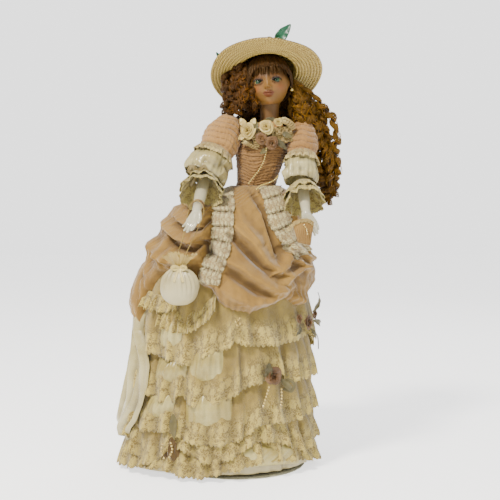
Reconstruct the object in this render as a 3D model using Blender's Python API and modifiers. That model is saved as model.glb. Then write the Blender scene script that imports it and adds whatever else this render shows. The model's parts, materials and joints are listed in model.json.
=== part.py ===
"""A dressed porcelain collector's doll on its stand. Metres, +Z up, the doll faces -Y.

The origin is the centre of the stand's underside. Right and left are the doll's own, so right is -X.
Each object is one physical piece; the empties named pivot_* stand on the joints' axes.
"""

import math

import bmesh
import bpy
from mathutils import Euler, Matrix, Vector

# Stand
BASE_RADIUS = 0.090
BASE_THICKNESS = 0.003
POST_X, POST_Y = 0.016, 0.036
TUBE_RADIUS, TUBE_BORE = 0.0040, 0.0031
TUBE_TOP = 0.200
ROD_RADIUS = 0.0027
ROD_FOOT = 0.080
CLIP_Z = 0.343
CLIP_WIRE = 0.0013

# Doll: joints and the points that its limbs run through
NECK = Vector((0.042, 0.003, 0.4545))
HEAD_CENTRE = Vector((0.040, 0.000, 0.508))
HEAD_TURN = Euler((math.radians(-4), math.radians(-6), math.radians(-3)))
HAT_CENTRE = Vector((0.038, 0.012, 0.522))
HAT_TURN = Euler((math.radians(-33), math.radians(-3.3), 0))
SHOULDER = {"right": Vector((-0.012, 0, 0.452)), "left": Vector((0.0865, 0, 0.446))}
ELBOW = {"right": Vector((-0.041, -0.030, 0.391)), "left": Vector((0.082, -0.030, 0.385))}
WRIST = {"right": Vector((-0.050, -0.106, 0.3405)), "left": Vector((0.0865, -0.085, 0.338))}
FINGERTIP = {"right": Vector((-0.0625, -0.117, 0.313)), "left": Vector((0.104, -0.094, 0.306))}
HIP = {"right": Vector((-0.005, 0, 0.287)), "left": Vector((0.027, 0, 0.287))}
ANKLE = {"right": Vector((-0.015, -0.002, 0.030)), "left": Vector((0.032, -0.002, 0.030))}
PURSE_AXIS = Vector((-0.0712, -0.108, 0))
PUFF_RADIUS = {"right": 0.0235, "left": 0.0192}
SIDES = ("right", "left")
GAP = 0.0004

# The middle of the body by height: z, x, y
SPINE = (
    (0.295, 0.010, 0.0),
    (0.345, 0.018, 0.0),
    (0.376, 0.025, 0.0),
    (0.415, 0.031, 0.0),
    (0.440, 0.038, 0.002),
    (0.4545, 0.042, 0.003),
)
# The dress's outline by height: z, right edge x, left edge x, front y, back y
SKIRT = (
    (0.362, -0.030, 0.075, -0.045, 0.050),
    (0.345, -0.085, 0.086, -0.066, 0.080),
    (0.320, -0.101, 0.091, -0.080, 0.098),
    (0.285, -0.117, 0.095, -0.090, 0.108),
    (0.250, -0.130, 0.098, -0.097, 0.112),
    (0.200, -0.136, 0.100, -0.100, 0.114),
    (0.150, -0.139, 0.101, -0.099, 0.116),
    (0.100, -0.147, 0.102, -0.099, 0.122),
    (0.050, -0.157, 0.104, -0.100, 0.130),
    (0.000, -0.163, 0.106, -0.102, 0.138),
)
SKIRT_SEGMENTS = 20
CLOTH = 0.0012
# The lace flounces from the top down: z of the gathered edge, z of the scalloped edge
TIERS = ((0.235, 0.172), (0.190, 0.131), (0.148, 0.083), (0.100, 0.044), (0.060, 0.008))

# The routes of the free cords
HANDLE_ROUTE = (
    (-0.0640, -0.1080, 0.2870),
    (-0.0560, -0.1055, 0.3040),
    (-0.0475, -0.1035, 0.3220),
    (-0.0412, -0.1025, 0.3400),
    (-0.0434, -0.1025, 0.3502),
    (-0.0500, -0.1025, 0.3542),
    (-0.0568, -0.1025, 0.3502),
    (-0.0600, -0.1020, 0.3400),
    (-0.0640, -0.1025, 0.3220),
    (-0.0680, -0.1055, 0.3040),
    (-0.0745, -0.1080, 0.2870),
)
PEARLS_FRONT_ROUTE = (
    (0.0375, -0.0300, 0.4210),
    (0.0360, -0.0275, 0.4120),
    (0.0330, -0.0262, 0.4020),
    (0.0280, -0.0250, 0.3930),
    (0.0210, -0.0245, 0.3840),
    (0.0145, -0.0285, 0.3755),
)
PEARLS_SIDE_ROUTE = (
    (0.0585, -0.0215, 0.3850),
    (0.0520, -0.0250, 0.3800),
    (0.0440, -0.0275, 0.3770),
    (0.0370, -0.0305, 0.3750),
    (0.0300, -0.0370, 0.3725),
    (0.0245, -0.0460, 0.3680),
)
HANDLE_RADIUS = 0.0009
PEARL_RADIUS = 0.0010

doll_collection = bpy.data.collections.new("porcelain_doll")
cutter_collection = bpy.data.collections.new("cutters")


def clear_scene():
    for obj in list(bpy.data.objects):
        bpy.data.objects.remove(obj, do_unlink=True)
    for collection in (doll_collection, cutter_collection):
        bpy.context.scene.collection.children.link(collection)


def material(name, colour, roughness, metallic=0.0):
    """A Principled BSDF, made once for each name."""
    found = bpy.data.materials.get(name)
    if found:
        return found
    made = bpy.data.materials.new(name)
    made.use_nodes = True
    shader = made.node_tree.nodes["Principled BSDF"]
    shader.inputs["Base Color"].default_value = (*colour, 1)
    shader.inputs["Roughness"].default_value = roughness
    shader.inputs["Metallic"].default_value = metallic
    return made


def materials():
    """Every material of the doll by name."""
    return {
        "steel": material("steel", (0.42, 0.42, 0.44), 0.35, 0.9),
        "bisque": material("bisque", (0.86, 0.64, 0.50), 0.45),
        "white_china": material("white_china", (0.88, 0.88, 0.90), 0.18),
        "eye_glass": material("eye_glass", (0.10, 0.28, 0.26), 0.08),
        "hair": material("hair", (0.36, 0.17, 0.05), 0.55),
        "straw": material("straw", (0.72, 0.58, 0.33), 0.70),
        "teal_satin": material("teal_satin", (0.02, 0.33, 0.29), 0.40),
        "muslin": material("muslin", (0.82, 0.76, 0.66), 0.90),
        "peach_chiffon": material("peach_chiffon", (0.70, 0.47, 0.29), 0.80),
        "white_satin": material("white_satin", (0.86, 0.84, 0.76), 0.35),
        "cream_lace": material("cream_lace", (0.80, 0.68, 0.40), 0.85),
        "rose_satin": material("rose_satin", (0.62, 0.40, 0.30), 0.45),
        "pearl": material("pearl", (0.90, 0.84, 0.68), 0.20),
        "gilt_thread": material("gilt_thread", (0.45, 0.22, 0.09), 0.50),
        "pate_card": material("pate_card", (0.80, 0.78, 0.72), 0.90),
    }


def link(obj, skin, collection=doll_collection):
    if skin:
        obj.data.materials.append(skin)
    collection.objects.link(obj)
    return obj


def mesh_object(name, mesh, skin, smooth_angle=0.7, collection=doll_collection):
    """A mesh object, smooth-shaded except across edges sharper than the angle."""
    mesh.shade_smooth()
    mesh.set_sharp_from_angle(angle=smooth_angle)
    return link(bpy.data.objects.new(name, mesh), skin, collection)


def limb_frame(start, end):
    """The frame with its origin at start and its +Z towards end."""
    turn = (end - start).to_track_quat("Z", "Y").to_matrix().to_4x4()
    return Matrix.Translation(start) @ turn


def turned(name, profile, skin, frame=None, steps=18, closed=False, collection=doll_collection):
    """A turned piece: its profile, (radius, height) down the outer side, on a Screw about local Z.

    With closed set the profile is a loop, so the piece is a ring or a tube.
    """
    count = len(profile)
    edges = [(i, i + 1) for i in range(count - 1)]
    if closed:
        edges.append((count - 1, 0))
    mesh = bpy.data.meshes.new(name)
    mesh.from_pydata([(radius, 0, height) for radius, height in profile], edges, [])
    obj = link(bpy.data.objects.new(name, mesh), skin, collection)
    screw = obj.modifiers.new("turning", "SCREW")
    screw.steps = steps
    screw.render_steps = steps
    screw.use_merge_vertices = True
    screw.merge_threshold = 0.00001
    screw.use_smooth_shade = True
    if frame is not None:
        obj.matrix_world = frame
    return obj


def cloth_tube(name, outline, skin, frame=None, steps=14, thickness=CLOTH):
    """A turned sleeve of cloth: (radius, height) from its top edge down, with its wall inside it."""
    inner = [(radius - thickness, height) for radius, height in reversed(outline)]
    return turned(name, list(outline) + inner, skin, frame, steps, closed=True)


def between(stations, z):
    """The row of the stations at height z, read between its two neighbours."""
    rows = sorted(stations)
    z = min(max(z, rows[0][0]), rows[-1][0])
    for low, high in zip(rows, rows[1:]):
        if low[0] <= z <= high[0]:
            share = (z - low[0]) / (high[0] - low[0])
            return [a + share * (b - a) for a, b in zip(low[1:], high[1:])]
    return list(rows[-1][1:])


def ring_round(x, y, z, half_width, half_depth, segments):
    """A level ellipse round the point."""
    ring = []
    for i in range(segments):
        angle = 2 * math.pi * i / segments
        ring.append(Vector((x + half_width * math.cos(angle), y + half_depth * math.sin(angle), z)))
    return ring


def spine_ring(z, half_width, half_depth, segments=16):
    """A level ellipse round the spine at height z."""
    x, y = between(SPINE, z)
    return ring_round(x, y, z, half_width, half_depth, segments)


def skirt_ring(z, inset, segments=SKIRT_SEGMENTS):
    """The dress's outline at height z, made smaller by the inset: four quarter-ellipses."""
    right, left, front, back = between(SKIRT, z)
    middle = (right + left) / 2
    half_width = (left - right) / 2 - inset
    ring = []
    for i in range(segments):
        angle = 2 * math.pi * i / segments
        depth = back - inset if math.sin(angle) > 0 else -front - inset
        ring.append(Vector((middle + half_width * math.cos(angle), depth * math.sin(angle), z)))
    return ring


def loft_mesh(name, rings, capped):
    """A skin over rings of equal counts, counter-clockwise from above and rising, so that it faces out."""
    mesh = bpy.data.meshes.new(name)
    work = bmesh.new()
    rows = [[work.verts.new(point) for point in ring] for ring in rings]
    for low, high in zip(rows, rows[1:]):
        for i in range(len(low)):
            j = (i + 1) % len(low)
            work.faces.new((low[i], low[j], high[j], high[i]))
    if capped:
        work.faces.new(tuple(reversed(rows[0])))
        work.faces.new(tuple(rows[-1]))
    work.to_mesh(mesh)
    work.free()
    return mesh


def solid_loft(name, rings, skin):
    return mesh_object(name, loft_mesh(name, rings, capped=True), skin)


def cloth_loft(name, rings, skin, thickness=CLOTH):
    """A sheet over the rings, with its thickness laid inside it."""
    obj = mesh_object(name, loft_mesh(name, rings, capped=False), skin)
    wall = obj.modifiers.new("thickness", "SOLIDIFY")
    wall.thickness = thickness
    wall.offset = -1
    return obj


def ball(name, radii, skin, frame, segments=16, rows=10, collection=doll_collection):
    """An ellipsoid of three radii in the given frame."""
    mesh = bpy.data.meshes.new(name)
    work = bmesh.new()
    bmesh.ops.create_uvsphere(work, u_segments=segments, v_segments=rows, radius=1)
    bmesh.ops.scale(work, vec=radii, verts=work.verts)
    work.to_mesh(mesh)
    work.free()
    obj = mesh_object(name, mesh, skin, 3.2, collection)
    obj.matrix_world = frame
    return obj


def rod(name, start, end, radii, skin, segments=12, collection=doll_collection):
    """A straight round bar from start to end, with a radius at each end."""
    mesh = bpy.data.meshes.new(name)
    work = bmesh.new()
    length = (end - start).length
    bmesh.ops.create_cone(
        work, cap_ends=True, segments=segments, radius1=radii[0], radius2=radii[1], depth=length
    )
    bmesh.ops.translate(work, vec=(0, 0, length / 2), verts=work.verts)
    work.to_mesh(mesh)
    work.free()
    obj = mesh_object(name, mesh, skin, collection=collection)
    obj.matrix_world = limb_frame(start, end)
    return obj


def smooth_route(points, count):
    """Points along one smooth curve through the given ones, ends included."""
    path = [Vector(point) for point in points]
    path = [2 * path[0] - path[1], *path, 2 * path[-1] - path[-2]]
    spans = len(path) - 3
    route = []
    for i in range(count):
        at = i / (count - 1) * spans
        k = min(int(at), spans - 1)
        t = at - k
        a, b, c, d = path[k : k + 4]
        bend = 2 * b + (c - a) * t + (2 * a - 5 * b + 4 * c - d) * t**2
        route.append((bend + (3 * b - a - 3 * c + d) * t**3) / 2)
    return route


def cord(name, points, radius, skin, count):
    """A cord along one smooth curve through the points."""
    curve = bpy.data.curves.new(name, "CURVE")
    curve.dimensions = "3D"
    curve.bevel_depth = radius
    curve.bevel_resolution = 2
    curve.use_fill_caps = True
    spline = curve.splines.new("POLY")
    route = smooth_route(points, count)
    spline.points.add(len(route) - 1)
    for knot, point in zip(spline.points, route):
        knot.co = (*point, 1)
    return link(bpy.data.objects.new(name, curve), skin)


def as_mesh(obj):
    """The evaluated shape of an object as a plain mesh object with welded caps, in its place."""
    bpy.context.view_layer.update()
    graph = bpy.context.evaluated_depsgraph_get()
    mesh = bpy.data.meshes.new_from_object(obj.evaluated_get(graph))
    work = bmesh.new()
    work.from_mesh(mesh)
    bmesh.ops.remove_doubles(work, verts=work.verts, dist=0.000005)
    bmesh.ops.recalc_face_normals(work, faces=work.faces)
    work.to_mesh(mesh)
    work.free()
    name, matrix, collections = obj.name, obj.matrix_world.copy(), list(obj.users_collection)
    bpy.data.objects.remove(obj)
    made = bpy.data.objects.new(name, mesh)
    made.matrix_world = matrix
    for collection in collections:
        collection.objects.link(made)
    return made


def boolean(target, tool, operation):
    """Cuts or joins the tool and hides it with the cutters."""
    step = target.modifiers.new(operation.lower() + "_" + tool.name, "BOOLEAN")
    step.operation = operation
    step.object = tool
    tool.hide_render = True
    tool.display_type = "WIRE"
    for collection in list(tool.users_collection):
        collection.objects.unlink(tool)
    cutter_collection.objects.link(tool)


def pivot(name, place, pieces, parent=None):
    """An empty on a joint's axis, with the pieces that turn or slide on it as its children."""
    empty = bpy.data.objects.new("pivot_" + name, None)
    doll_collection.objects.link(empty)
    empty.matrix_world = Matrix.Translation(place)
    bpy.context.view_layer.update()
    for piece in pieces:
        matrix = piece.matrix_world.copy()
        piece.parent = empty
        piece.matrix_parent_inverse = empty.matrix_world.inverted()
        piece.matrix_world = matrix
    if parent:
        empty.parent = parent
        empty.matrix_parent_inverse = parent.matrix_world.inverted()
    return empty


def stand(skins):
    """The pressed steel foot, its socket, the post tube, and the sliding rod with its waist clip."""
    steel = skins["steel"]
    rim = BASE_THICKNESS
    foot = turned(
        "stand_base",
        [(0, rim), (0.084, rim), (0.087, rim * 0.9), (BASE_RADIUS, rim * 0.35), (0.0895, 0), (0, 0)],
        steel,
        steps=32,
    )
    post = Matrix.Translation((POST_X, POST_Y, 0))
    low = BASE_THICKNESS + GAP
    socket_bore = TUBE_RADIUS + GAP
    socket = turned(
        "stand_socket",
        [(0.0070, low + 0.010), (0.0090, low), (socket_bore, low), (socket_bore, low + 0.010)],
        steel,
        post,
        closed=True,
    )
    tube = turned(
        "stand_tube",
        [(TUBE_RADIUS, TUBE_TOP), (TUBE_RADIUS, low), (TUBE_BORE, low), (TUBE_BORE, TUBE_TOP)],
        steel,
        post,
        closed=True,
    )
    sliding = rod(
        "stand_rod",
        Vector((POST_X, POST_Y, ROD_FOOT)),
        Vector((POST_X, POST_Y, CLIP_Z - 0.0035)),
        (ROD_RADIUS, ROD_RADIUS),
        steel,
        segments=14,
    )
    return [foot, socket, tube], [sliding, waist_clip(steel)]


def waist_clip(steel):
    """An open wire hoop round the waist, on a short arm and a ferrule over the rod's end."""
    x, y = between(SPINE, CLIP_Z)
    half_width, half_depth = 0.0265, 0.0215
    opening = math.radians(35)
    route = []
    for i in range(25):
        angle = -math.pi / 2 + opening + (2 * math.pi - 2 * opening) * i / 24
        point = (x + half_width * math.cos(angle), y + half_depth * math.sin(angle), CLIP_Z)
        route.append(point)
    hoop = as_mesh(cord("waist_clip", route, CLIP_WIRE, None, 24))
    hoop.data.materials.append(steel)
    arm = rod(
        "clip_arm",
        Vector((POST_X, 0.0185, CLIP_Z)),
        Vector((POST_X, POST_Y, CLIP_Z)),
        (0.0016, 0.0016),
        None,
        segments=10,
        collection=cutter_collection,
    )
    ferrule = rod(
        "clip_ferrule",
        Vector((POST_X, POST_Y, CLIP_Z - 0.003)),
        Vector((POST_X, POST_Y, CLIP_Z + 0.003)),
        (0.0036, 0.0036),
        None,
        collection=cutter_collection,
    )
    boolean(hoop, arm, "UNION")
    boolean(hoop, ferrule, "UNION")
    return hoop


def torso(skins):
    """The stuffed muslin body, from the seat to under the shoulder plate."""
    sections = (
        (0.2985, 0.014, 0.010),
        (0.305, 0.023, 0.017),
        (0.325, 0.025, 0.0185),
        (0.345, 0.0225, 0.0170),
        (0.366, 0.0205, 0.0160),
        (0.390, 0.0225, 0.0165),
        (0.410, 0.0255, 0.0170),
        (0.424, 0.0240, 0.0150),
        (0.429, 0.0190, 0.0110),
    )
    return solid_loft("torso", [spine_ring(*section) for section in sections], skins["muslin"])


def shoulder_plate(skins):
    """The china shoulder plate: a cup for the neck's ball inside a collar, then sloping shoulders."""
    segments, bowl = 14, 0.0123
    rings = []
    for radius in (0.0022, 0.0075, 0.0107, 0.0121):
        drop = math.sqrt(bowl**2 - radius**2)
        rings.append(ring_round(NECK.x, NECK.y, NECK.z - drop, radius, radius, segments))
    rings.append(ring_round(NECK.x, NECK.y, NECK.z + 0.0020, 0.0138, 0.0136, segments))
    rings.append(ring_round(NECK.x, NECK.y, NECK.z + 0.0006, 0.0168, 0.0160, segments))
    for drop, half_width, half_depth in (
        (0.0060, 0.0215, 0.0172),
        (0.0145, 0.0262, 0.0178),
        (0.0240, 0.0285, 0.0183),
        (0.0370, 0.0285, 0.0183),
    ):
        rings.append(spine_ring(NECK.z - drop, half_width, half_depth, segments))
    rings.reverse()
    return cloth_loft("shoulder_plate", rings, skins["bisque"], 0.0016)


def bodice(skins):
    """The fitted bodice over the torso and the foot of the shoulder plate."""
    sections = (
        (0.364, 0.0240, 0.0190),
        (0.378, 0.0245, 0.0192),
        (0.395, 0.0272, 0.0204),
        (0.414, 0.0318, 0.0220),
        (0.430, 0.0312, 0.0220),
        (0.440, 0.0285, 0.0210),
    )
    return cloth_loft("bodice", [spine_ring(*s) for s in sections], skins["peach_chiffon"])


def skirts(skins):
    """Petticoat, satin underskirt, five lace flounces and the draped overskirt, inside to outside."""
    pieces = []
    levels = (0.015, 0.100, 0.150, 0.200, 0.285, 0.330, 0.350)
    rings = [skirt_ring(z, 0.0165) for z in levels]
    rings.append(spine_ring(0.3600, 0.0240, 0.0200, SKIRT_SEGMENTS))
    for ring in rings[4:]:
        for point in ring:
            point.z -= 0.0045
    pieces.append(cloth_loft("petticoat", rings, skins["muslin"]))

    rings = [skirt_ring(z, 0.012) for z in (0.006, *levels[1:])]
    rings.append(spine_ring(0.3600, 0.0252, 0.0210, SKIRT_SEGMENTS))
    pieces.append(cloth_loft("underskirt", rings, skins["white_satin"]))

    for number, (top, hem) in enumerate(TIERS, start=1):
        middle = (top + hem) / 2
        rings = [skirt_ring(hem, 0.0005), skirt_ring(middle, 0.0045), skirt_ring(top, 0.0095)]
        pieces.append(cloth_loft(f"lace_flounce_{number}", rings, skins["cream_lace"]))

    rings = [skirt_ring(z, 0) for z in (0.205, 0.250, 0.285, 0.330, 0.350, 0.362)]
    rings.append(spine_ring(0.3725, 0.0285, 0.0235, SKIRT_SEGMENTS))
    pieces.append(cloth_loft("overskirt", rings, skins["peach_chiffon"]))
    return pieces


def trims(skins):
    """The ribbon roses and the two strands of pearls on the dress."""
    roses = (
        ("rose_shoulder", (0.0145, -0.0245, 0.4370), (0.0075, 0.0055, 0.0110), "white_satin"),
        ("roses_neckline", (0.0490, -0.0305, 0.4370), (0.0230, 0.0068, 0.0120), "rose_satin"),
        ("rose_skirt_front", (0.0422, -0.0935, 0.1343), (0.0090, 0.0050, 0.0090), "rose_satin"),
        ("rose_skirt_side", (0.0785, -0.0680, 0.1975), (0.0090, 0.0060, 0.0090), "rose_satin"),
    )
    pieces = [
        ball(name, radii, skins[skin], Matrix.Translation(place), 12, 8)
        for name, place, radii, skin in roses
    ]
    pieces.append(cord("pearls_front", PEARLS_FRONT_ROUTE, PEARL_RADIUS, skins["pearl"], 16))
    pieces.append(cord("pearls_side", PEARLS_SIDE_ROUTE, PEARL_RADIUS, skins["pearl"], 14))
    return pieces


HEAD_RADII = Vector((0.0265, 0.0310, 0.0325))
CROWN_CUT = 0.0175
EYE_X, EYE_Y, EYE_Z = 0.0118, -0.0212, 0.0015
EYE_RADIUS = 0.0062


def face_shape(point):
    """Moves a point of the head's ellipsoid: a narrower jaw, a chin, a nose, brows and eye hollows."""
    x, y, z = point
    front = max(0.0, -y / HEAD_RADII.y)
    low = max(0.0, -z / HEAD_RADII.z)
    x *= 1 - 0.30 * low * low * (0.4 + 0.6 * front)

    def bump(cx, cz, width, height):
        return math.exp(-(((point.x - cx) / width) ** 2) - ((point.z - cz) / height) ** 2) * (y < 0)

    y -= 0.0048 * bump(0, -0.0070, 0.0040, 0.0062)
    y -= 0.0026 * bump(0, -0.0150, 0.0085, 0.0040)
    y -= 0.0050 * bump(0, -0.0275, 0.0110, 0.0075)
    y += 0.0022 * (bump(EYE_X, EYE_Z, 0.0060, 0.0045) + bump(-EYE_X, EYE_Z, 0.0060, 0.0045))
    return Vector((x, y, z))


def half_space(name, frame, above):
    """A block that fills the space above or below local z 0 of the frame."""
    mesh = bpy.data.meshes.new(name)
    work = bmesh.new()
    size = 0.12
    bmesh.ops.create_cube(work, size=size)
    bmesh.ops.translate(work, vec=(0, 0, size / 2 if above else -size / 2), verts=work.verts)
    work.to_mesh(mesh)
    work.free()
    obj = mesh_object(name, mesh, None, collection=cutter_collection)
    obj.matrix_world = frame
    return obj


def head_pieces(skins):
    """The china head with its open crown, the pate that closes it, the eyes, earrings and neck bolt."""
    frame = Matrix.Translation(HEAD_CENTRE) @ HEAD_TURN.to_matrix().to_4x4()
    head = ball("head", HEAD_RADII, skins["bisque"], frame, 22, 16)
    for vertex in head.data.vertices:
        vertex.co = face_shape(vertex.co)

    neck_top = frame @ Vector((0, 0.003, -0.012))
    neck = rod("neck", NECK, neck_top, (0.0108, 0.0108), None, 14, cutter_collection)
    boolean(head, neck, "UNION")
    place = Matrix.Translation(NECK)
    boolean(head, ball("neck_ball", (0.0116,) * 3, None, place, 14, 10, cutter_collection), "UNION")
    inner = ball("skull_hollow", HEAD_RADII * 0.88, None, frame, 14, 10, cutter_collection)
    for vertex in inner.data.vertices:
        vertex.co.x *= 1 - 0.28 * max(0.0, -vertex.co.z / 0.03) ** 2
    boolean(head, inner, "DIFFERENCE")
    low, high = NECK - Vector((0, 0, 0.006)), frame @ Vector((0, 0.003, -0.020))
    boolean(head, rod("neck_bore", low, high, (0.0070, 0.0070), None, 12, cutter_collection), "DIFFERENCE")
    bolt_line = (NECK - Vector((0, 0, 0.016)), NECK)
    boolean(head, rod("bolt_hole", *bolt_line, (0.0020, 0.0020), None, 10, cutter_collection), "DIFFERENCE")
    crown = frame @ Matrix.Translation((0, 0, CROWN_CUT))
    boolean(head, half_space("crown_cut", crown, above=True), "DIFFERENCE")

    pieces = [head]
    for side, sign in (("right", -1), ("left", 1)):
        centre = frame @ Matrix.Translation((sign * EYE_X, EYE_Y, EYE_Z))
        socket = ball(f"socket_{side}", (EYE_RADIUS + GAP,) * 3, None, centre, 10, 8, cutter_collection)
        boolean(head, socket, "DIFFERENCE")
        window = frame @ Matrix.Translation((sign * EYE_X, EYE_Y - 0.006, EYE_Z))
        opening = ball(f"lids_{side}", (0.0050, 0.0080, 0.0031), None, window, 10, 8, cutter_collection)
        boolean(head, opening, "DIFFERENCE")
        pieces.append(ball(f"eye_{side}", (EYE_RADIUS,) * 3, skins["eye_glass"], centre, 12, 8))
        lobe = frame @ Matrix.Translation((sign * 0.0302, 0.001, -0.0125))
        pieces.append(ball(f"earring_{side}", (0.0019,) * 3, skins["pearl"], lobe, 8, 6))

    pate = ball("pate", HEAD_RADII, skins["pate_card"], frame, 16, 14)
    hollow = ball("pate_hollow", HEAD_RADII * 0.94, None, frame, 16, 14, cutter_collection)
    boolean(pate, hollow, "DIFFERENCE")
    rim = frame @ Matrix.Translation((0, 0, CROWN_CUT + GAP))
    boolean(pate, half_space("pate_cut", rim, above=False), "DIFFERENCE")
    pieces.append(pate)

    shank, head_radius = 0.0015, 0.0050
    top = -0.0050
    pieces.append(
        turned(
            "neck_bolt",
            [
                (0, top),
                (head_radius, top),
                (head_radius, -0.0057),
                (shank, -0.0057),
                (shank, -0.0245),
                (0, -0.0245),
            ],
            skins["steel"],
            Matrix.Translation(NECK),
            steps=14,
        )
    )
    bore = shank + GAP / 2
    pieces.append(
        turned(
            "neck_nut",
            [(0.0042, -0.0150), (0.0042, -0.0175), (bore, -0.0175), (bore, -0.0150)],
            skins["steel"],
            Matrix.Translation(NECK),
            steps=12,
            closed=True,
        )
    )
    return pieces


def wig(skins):
    """The wig: its cap with the fringe, and the ringlets at each side and down the back."""
    frame = Matrix.Translation(HEAD_CENTRE) @ HEAD_TURN.to_matrix().to_4x4()
    cap = ball("wig_cap", HEAD_RADII + Vector((0.0042,) * 3), skins["hair"], frame, 18, 12)
    hollow = HEAD_RADII + Vector((0.0014,) * 3)
    boolean(cap, ball("cap_hollow", hollow, None, frame, 18, 12, cutter_collection), "DIFFERENCE")
    fringe = Matrix.Translation((0, -0.0150, -0.0030)) @ Matrix.Rotation(math.radians(-39), 4, "X")
    boolean(cap, half_space("cap_front", frame @ fringe, above=False), "DIFFERENCE")

    right = Matrix.Translation((-0.0055, -0.006, 0.4985))
    back = Matrix.Translation((0.046, 0.0465, 0.4470))
    side = smooth_route(
        (
            (0.0835, 0.020, 0.494),
            (0.0970, 0.030, 0.470),
            (0.1120, 0.032, 0.440),
            (0.1205, 0.028, 0.395),
            (0.1210, 0.022, 0.348),
        ),
        7,
    )
    radii = (0.005, 0.0105, 0.0130, 0.0135, 0.0135, 0.012, 0.006)
    rings = []
    for point, radius in zip(reversed(side), reversed(radii)):
        rings.append(ring_round(*point, radius, radius, 10))
    return [
        cap,
        ball("ringlets_right", (0.0125, 0.012, 0.0250), skins["hair"], right, 12, 8),
        solid_loft("ringlets_left", rings, skins["hair"]),
        ball("ringlets_back", (0.0330, 0.0110, 0.0400), skins["hair"], back, 12, 8),
    ]


def hat_pieces(skins):
    """The straw hat, its ribbon band and the ribbon bow on the crown, about the hat's own axis."""
    frame = Matrix.Translation(HAT_CENTRE) @ HAT_TURN.to_matrix().to_4x4()
    opening, wall = 0.0385, 0.0016
    outside = [
        (0.0, 0.0340),
        (0.024, 0.0335),
        (0.0335, 0.0290),
        (opening + wall, 0.0020),
        (0.0560, 0.0006),
        (0.0745, -0.0010),
    ]
    inside = [
        (0.0745, -0.0026),
        (0.0560, -0.0010),
        (opening, 0.0004),
        (0.0318, 0.0280),
        (0.0230, 0.0318),
        (0, 0.0322),
    ]
    hat = turned("straw_hat", outside + inside, skins["straw"], frame, steps=28)
    band = turned(
        "hat_band",
        [(0.0390, 0.0170), (0.0420, 0.0050), (0.0406, 0.0050), (0.0376, 0.0170)],
        skins["teal_satin"],
        frame,
        steps=24,
        closed=True,
    )
    tied_at = Matrix.Translation((0.012, -0.0500, 0.0115)) @ Matrix.Rotation(math.radians(-12), 4, "X")
    bow = ball("hat_bow", (0.0160, 0.0065, 0.0090), skins["teal_satin"], frame @ tied_at, 10, 8)
    return [hat, band, bow]


def arm(side, skins):
    """One arm: the stuffed upper arm on its wire with the sleeve, then the china forearm and its cuff."""
    shoulder, elbow, wrist = SHOULDER[side], ELBOW[side], WRIST[side]
    upper = limb_frame(shoulder, elbow)
    length = (elbow - shoulder).length
    bore = 0.0016
    sleeve_bore = turned(
        f"upper_arm_{side}",
        [
            (0.0066, length - 0.004),
            (0.0082, length - 0.010),
            (0.0088, 0.012),
            (0.0060, 0.002),
            (bore, 0.002),
            (bore, length - 0.004),
        ],
        skins["muslin"],
        upper,
        steps=12,
        closed=True,
    )
    wire = rod(
        f"arm_wire_{side}",
        upper @ Vector((0, 0, 0.001)),
        upper @ Vector((0, 0, length - 0.001)),
        (0.0011, 0.0011),
        skins["steel"],
        segments=8,
    )
    full = PUFF_RADIUS[side]
    puff = cloth_tube(
        f"sleeve_puff_{side}",
        [
            (0.84 * full, length - 0.0285),
            (full, length - 0.0380),
            (0.96 * full, 0.014),
            (0.76 * full, 0.001),
            (0.48 * full, -0.010),
        ],
        skins["peach_chiffon"],
        upper,
    )
    satin = cloth_tube(
        f"sleeve_satin_{side}",
        [
            (1.00 * full, length + 0.009),
            (1.16 * full, length + 0.002),
            (1.18 * full, length - 0.010),
            (1.00 * full, length - 0.020),
            (0.80 * full, length - 0.026),
        ],
        skins["white_satin"],
        upper,
    )
    fore = limb_frame(elbow, wrist)
    reach = (wrist - elbow).length
    forearm = as_mesh(
        turned(
            f"forearm_{side}",
            [
                (0, reach + 0.002),
                (0.0052, reach + 0.001),
                (0.0062, reach - 0.004),
                (0.0072, reach - 0.022),
                (0.0082, 0.030),
                (0.0072, 0.010),
                (0, 0.009),
            ],
            None,
            fore,
            steps=12,
        )
    )
    forearm.data.materials.append(skins["white_china"])
    for finger in hand(side):
        boolean(forearm, finger, "UNION")
    cuff = cloth_tube(
        f"lace_cuff_{side}",
        [(0.0235, 0.052), (0.0205, 0.044), (0.0160, 0.034), (0.0125, 0.026)],
        skins["cream_lace"],
        fore,
    )
    return [sleeve_bore, wire, puff, satin], [forearm, cuff]


# Each digit: offset across the palm, where it starts along it, its length, its radius, its lean outwards
DIGITS = (
    (-0.0062, 0.0150, 0.0110, 0.0017, -0.16),
    (-0.0022, 0.0165, 0.0135, 0.0018, -0.04),
    (0.0020, 0.0165, 0.0128, 0.0018, 0.06),
    (0.0060, 0.0145, 0.0100, 0.0016, 0.18),
    (-0.0055, 0.0040, 0.0130, 0.0019, -0.62),
)


def hand_frame(side):
    """The hand's frame: +Z from wrist to fingertips, +X across the palm, away from the thumb."""
    along = (FINGERTIP[side] - WRIST[side]).normalized()
    across = Vector((-1, 0.35, 0)) if side == "right" else Vector((1, 0.35, 0))
    across = (across - across.dot(along) * along).normalized()
    normal = along.cross(across)
    turn = Matrix((across, normal, along)).transposed().to_4x4()
    return Matrix.Translation(WRIST[side]) @ turn


def hand(side):
    """The palm, four fingers and a thumb, to be joined to the forearm."""
    frame = hand_frame(side)
    middle = frame @ Matrix.Translation((0, 0, 0.0085))
    palm = ball(f"palm_{side}", (0.0078, 0.0040, 0.0110), None, middle, 10, 8, cutter_collection)
    parts = [palm]
    for number, (x, start, length, radius, lean) in enumerate(DIGITS):
        base = frame @ Vector((x, 0, start - 0.004))
        tip = frame @ Vector((x + math.sin(lean) * length, -0.0018, start + math.cos(lean) * length))
        name = f"digit_{number}_{side}"
        parts.append(rod(name, base, tip, (radius * 1.15, radius * 0.75), None, 6, cutter_collection))
    return parts


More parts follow.
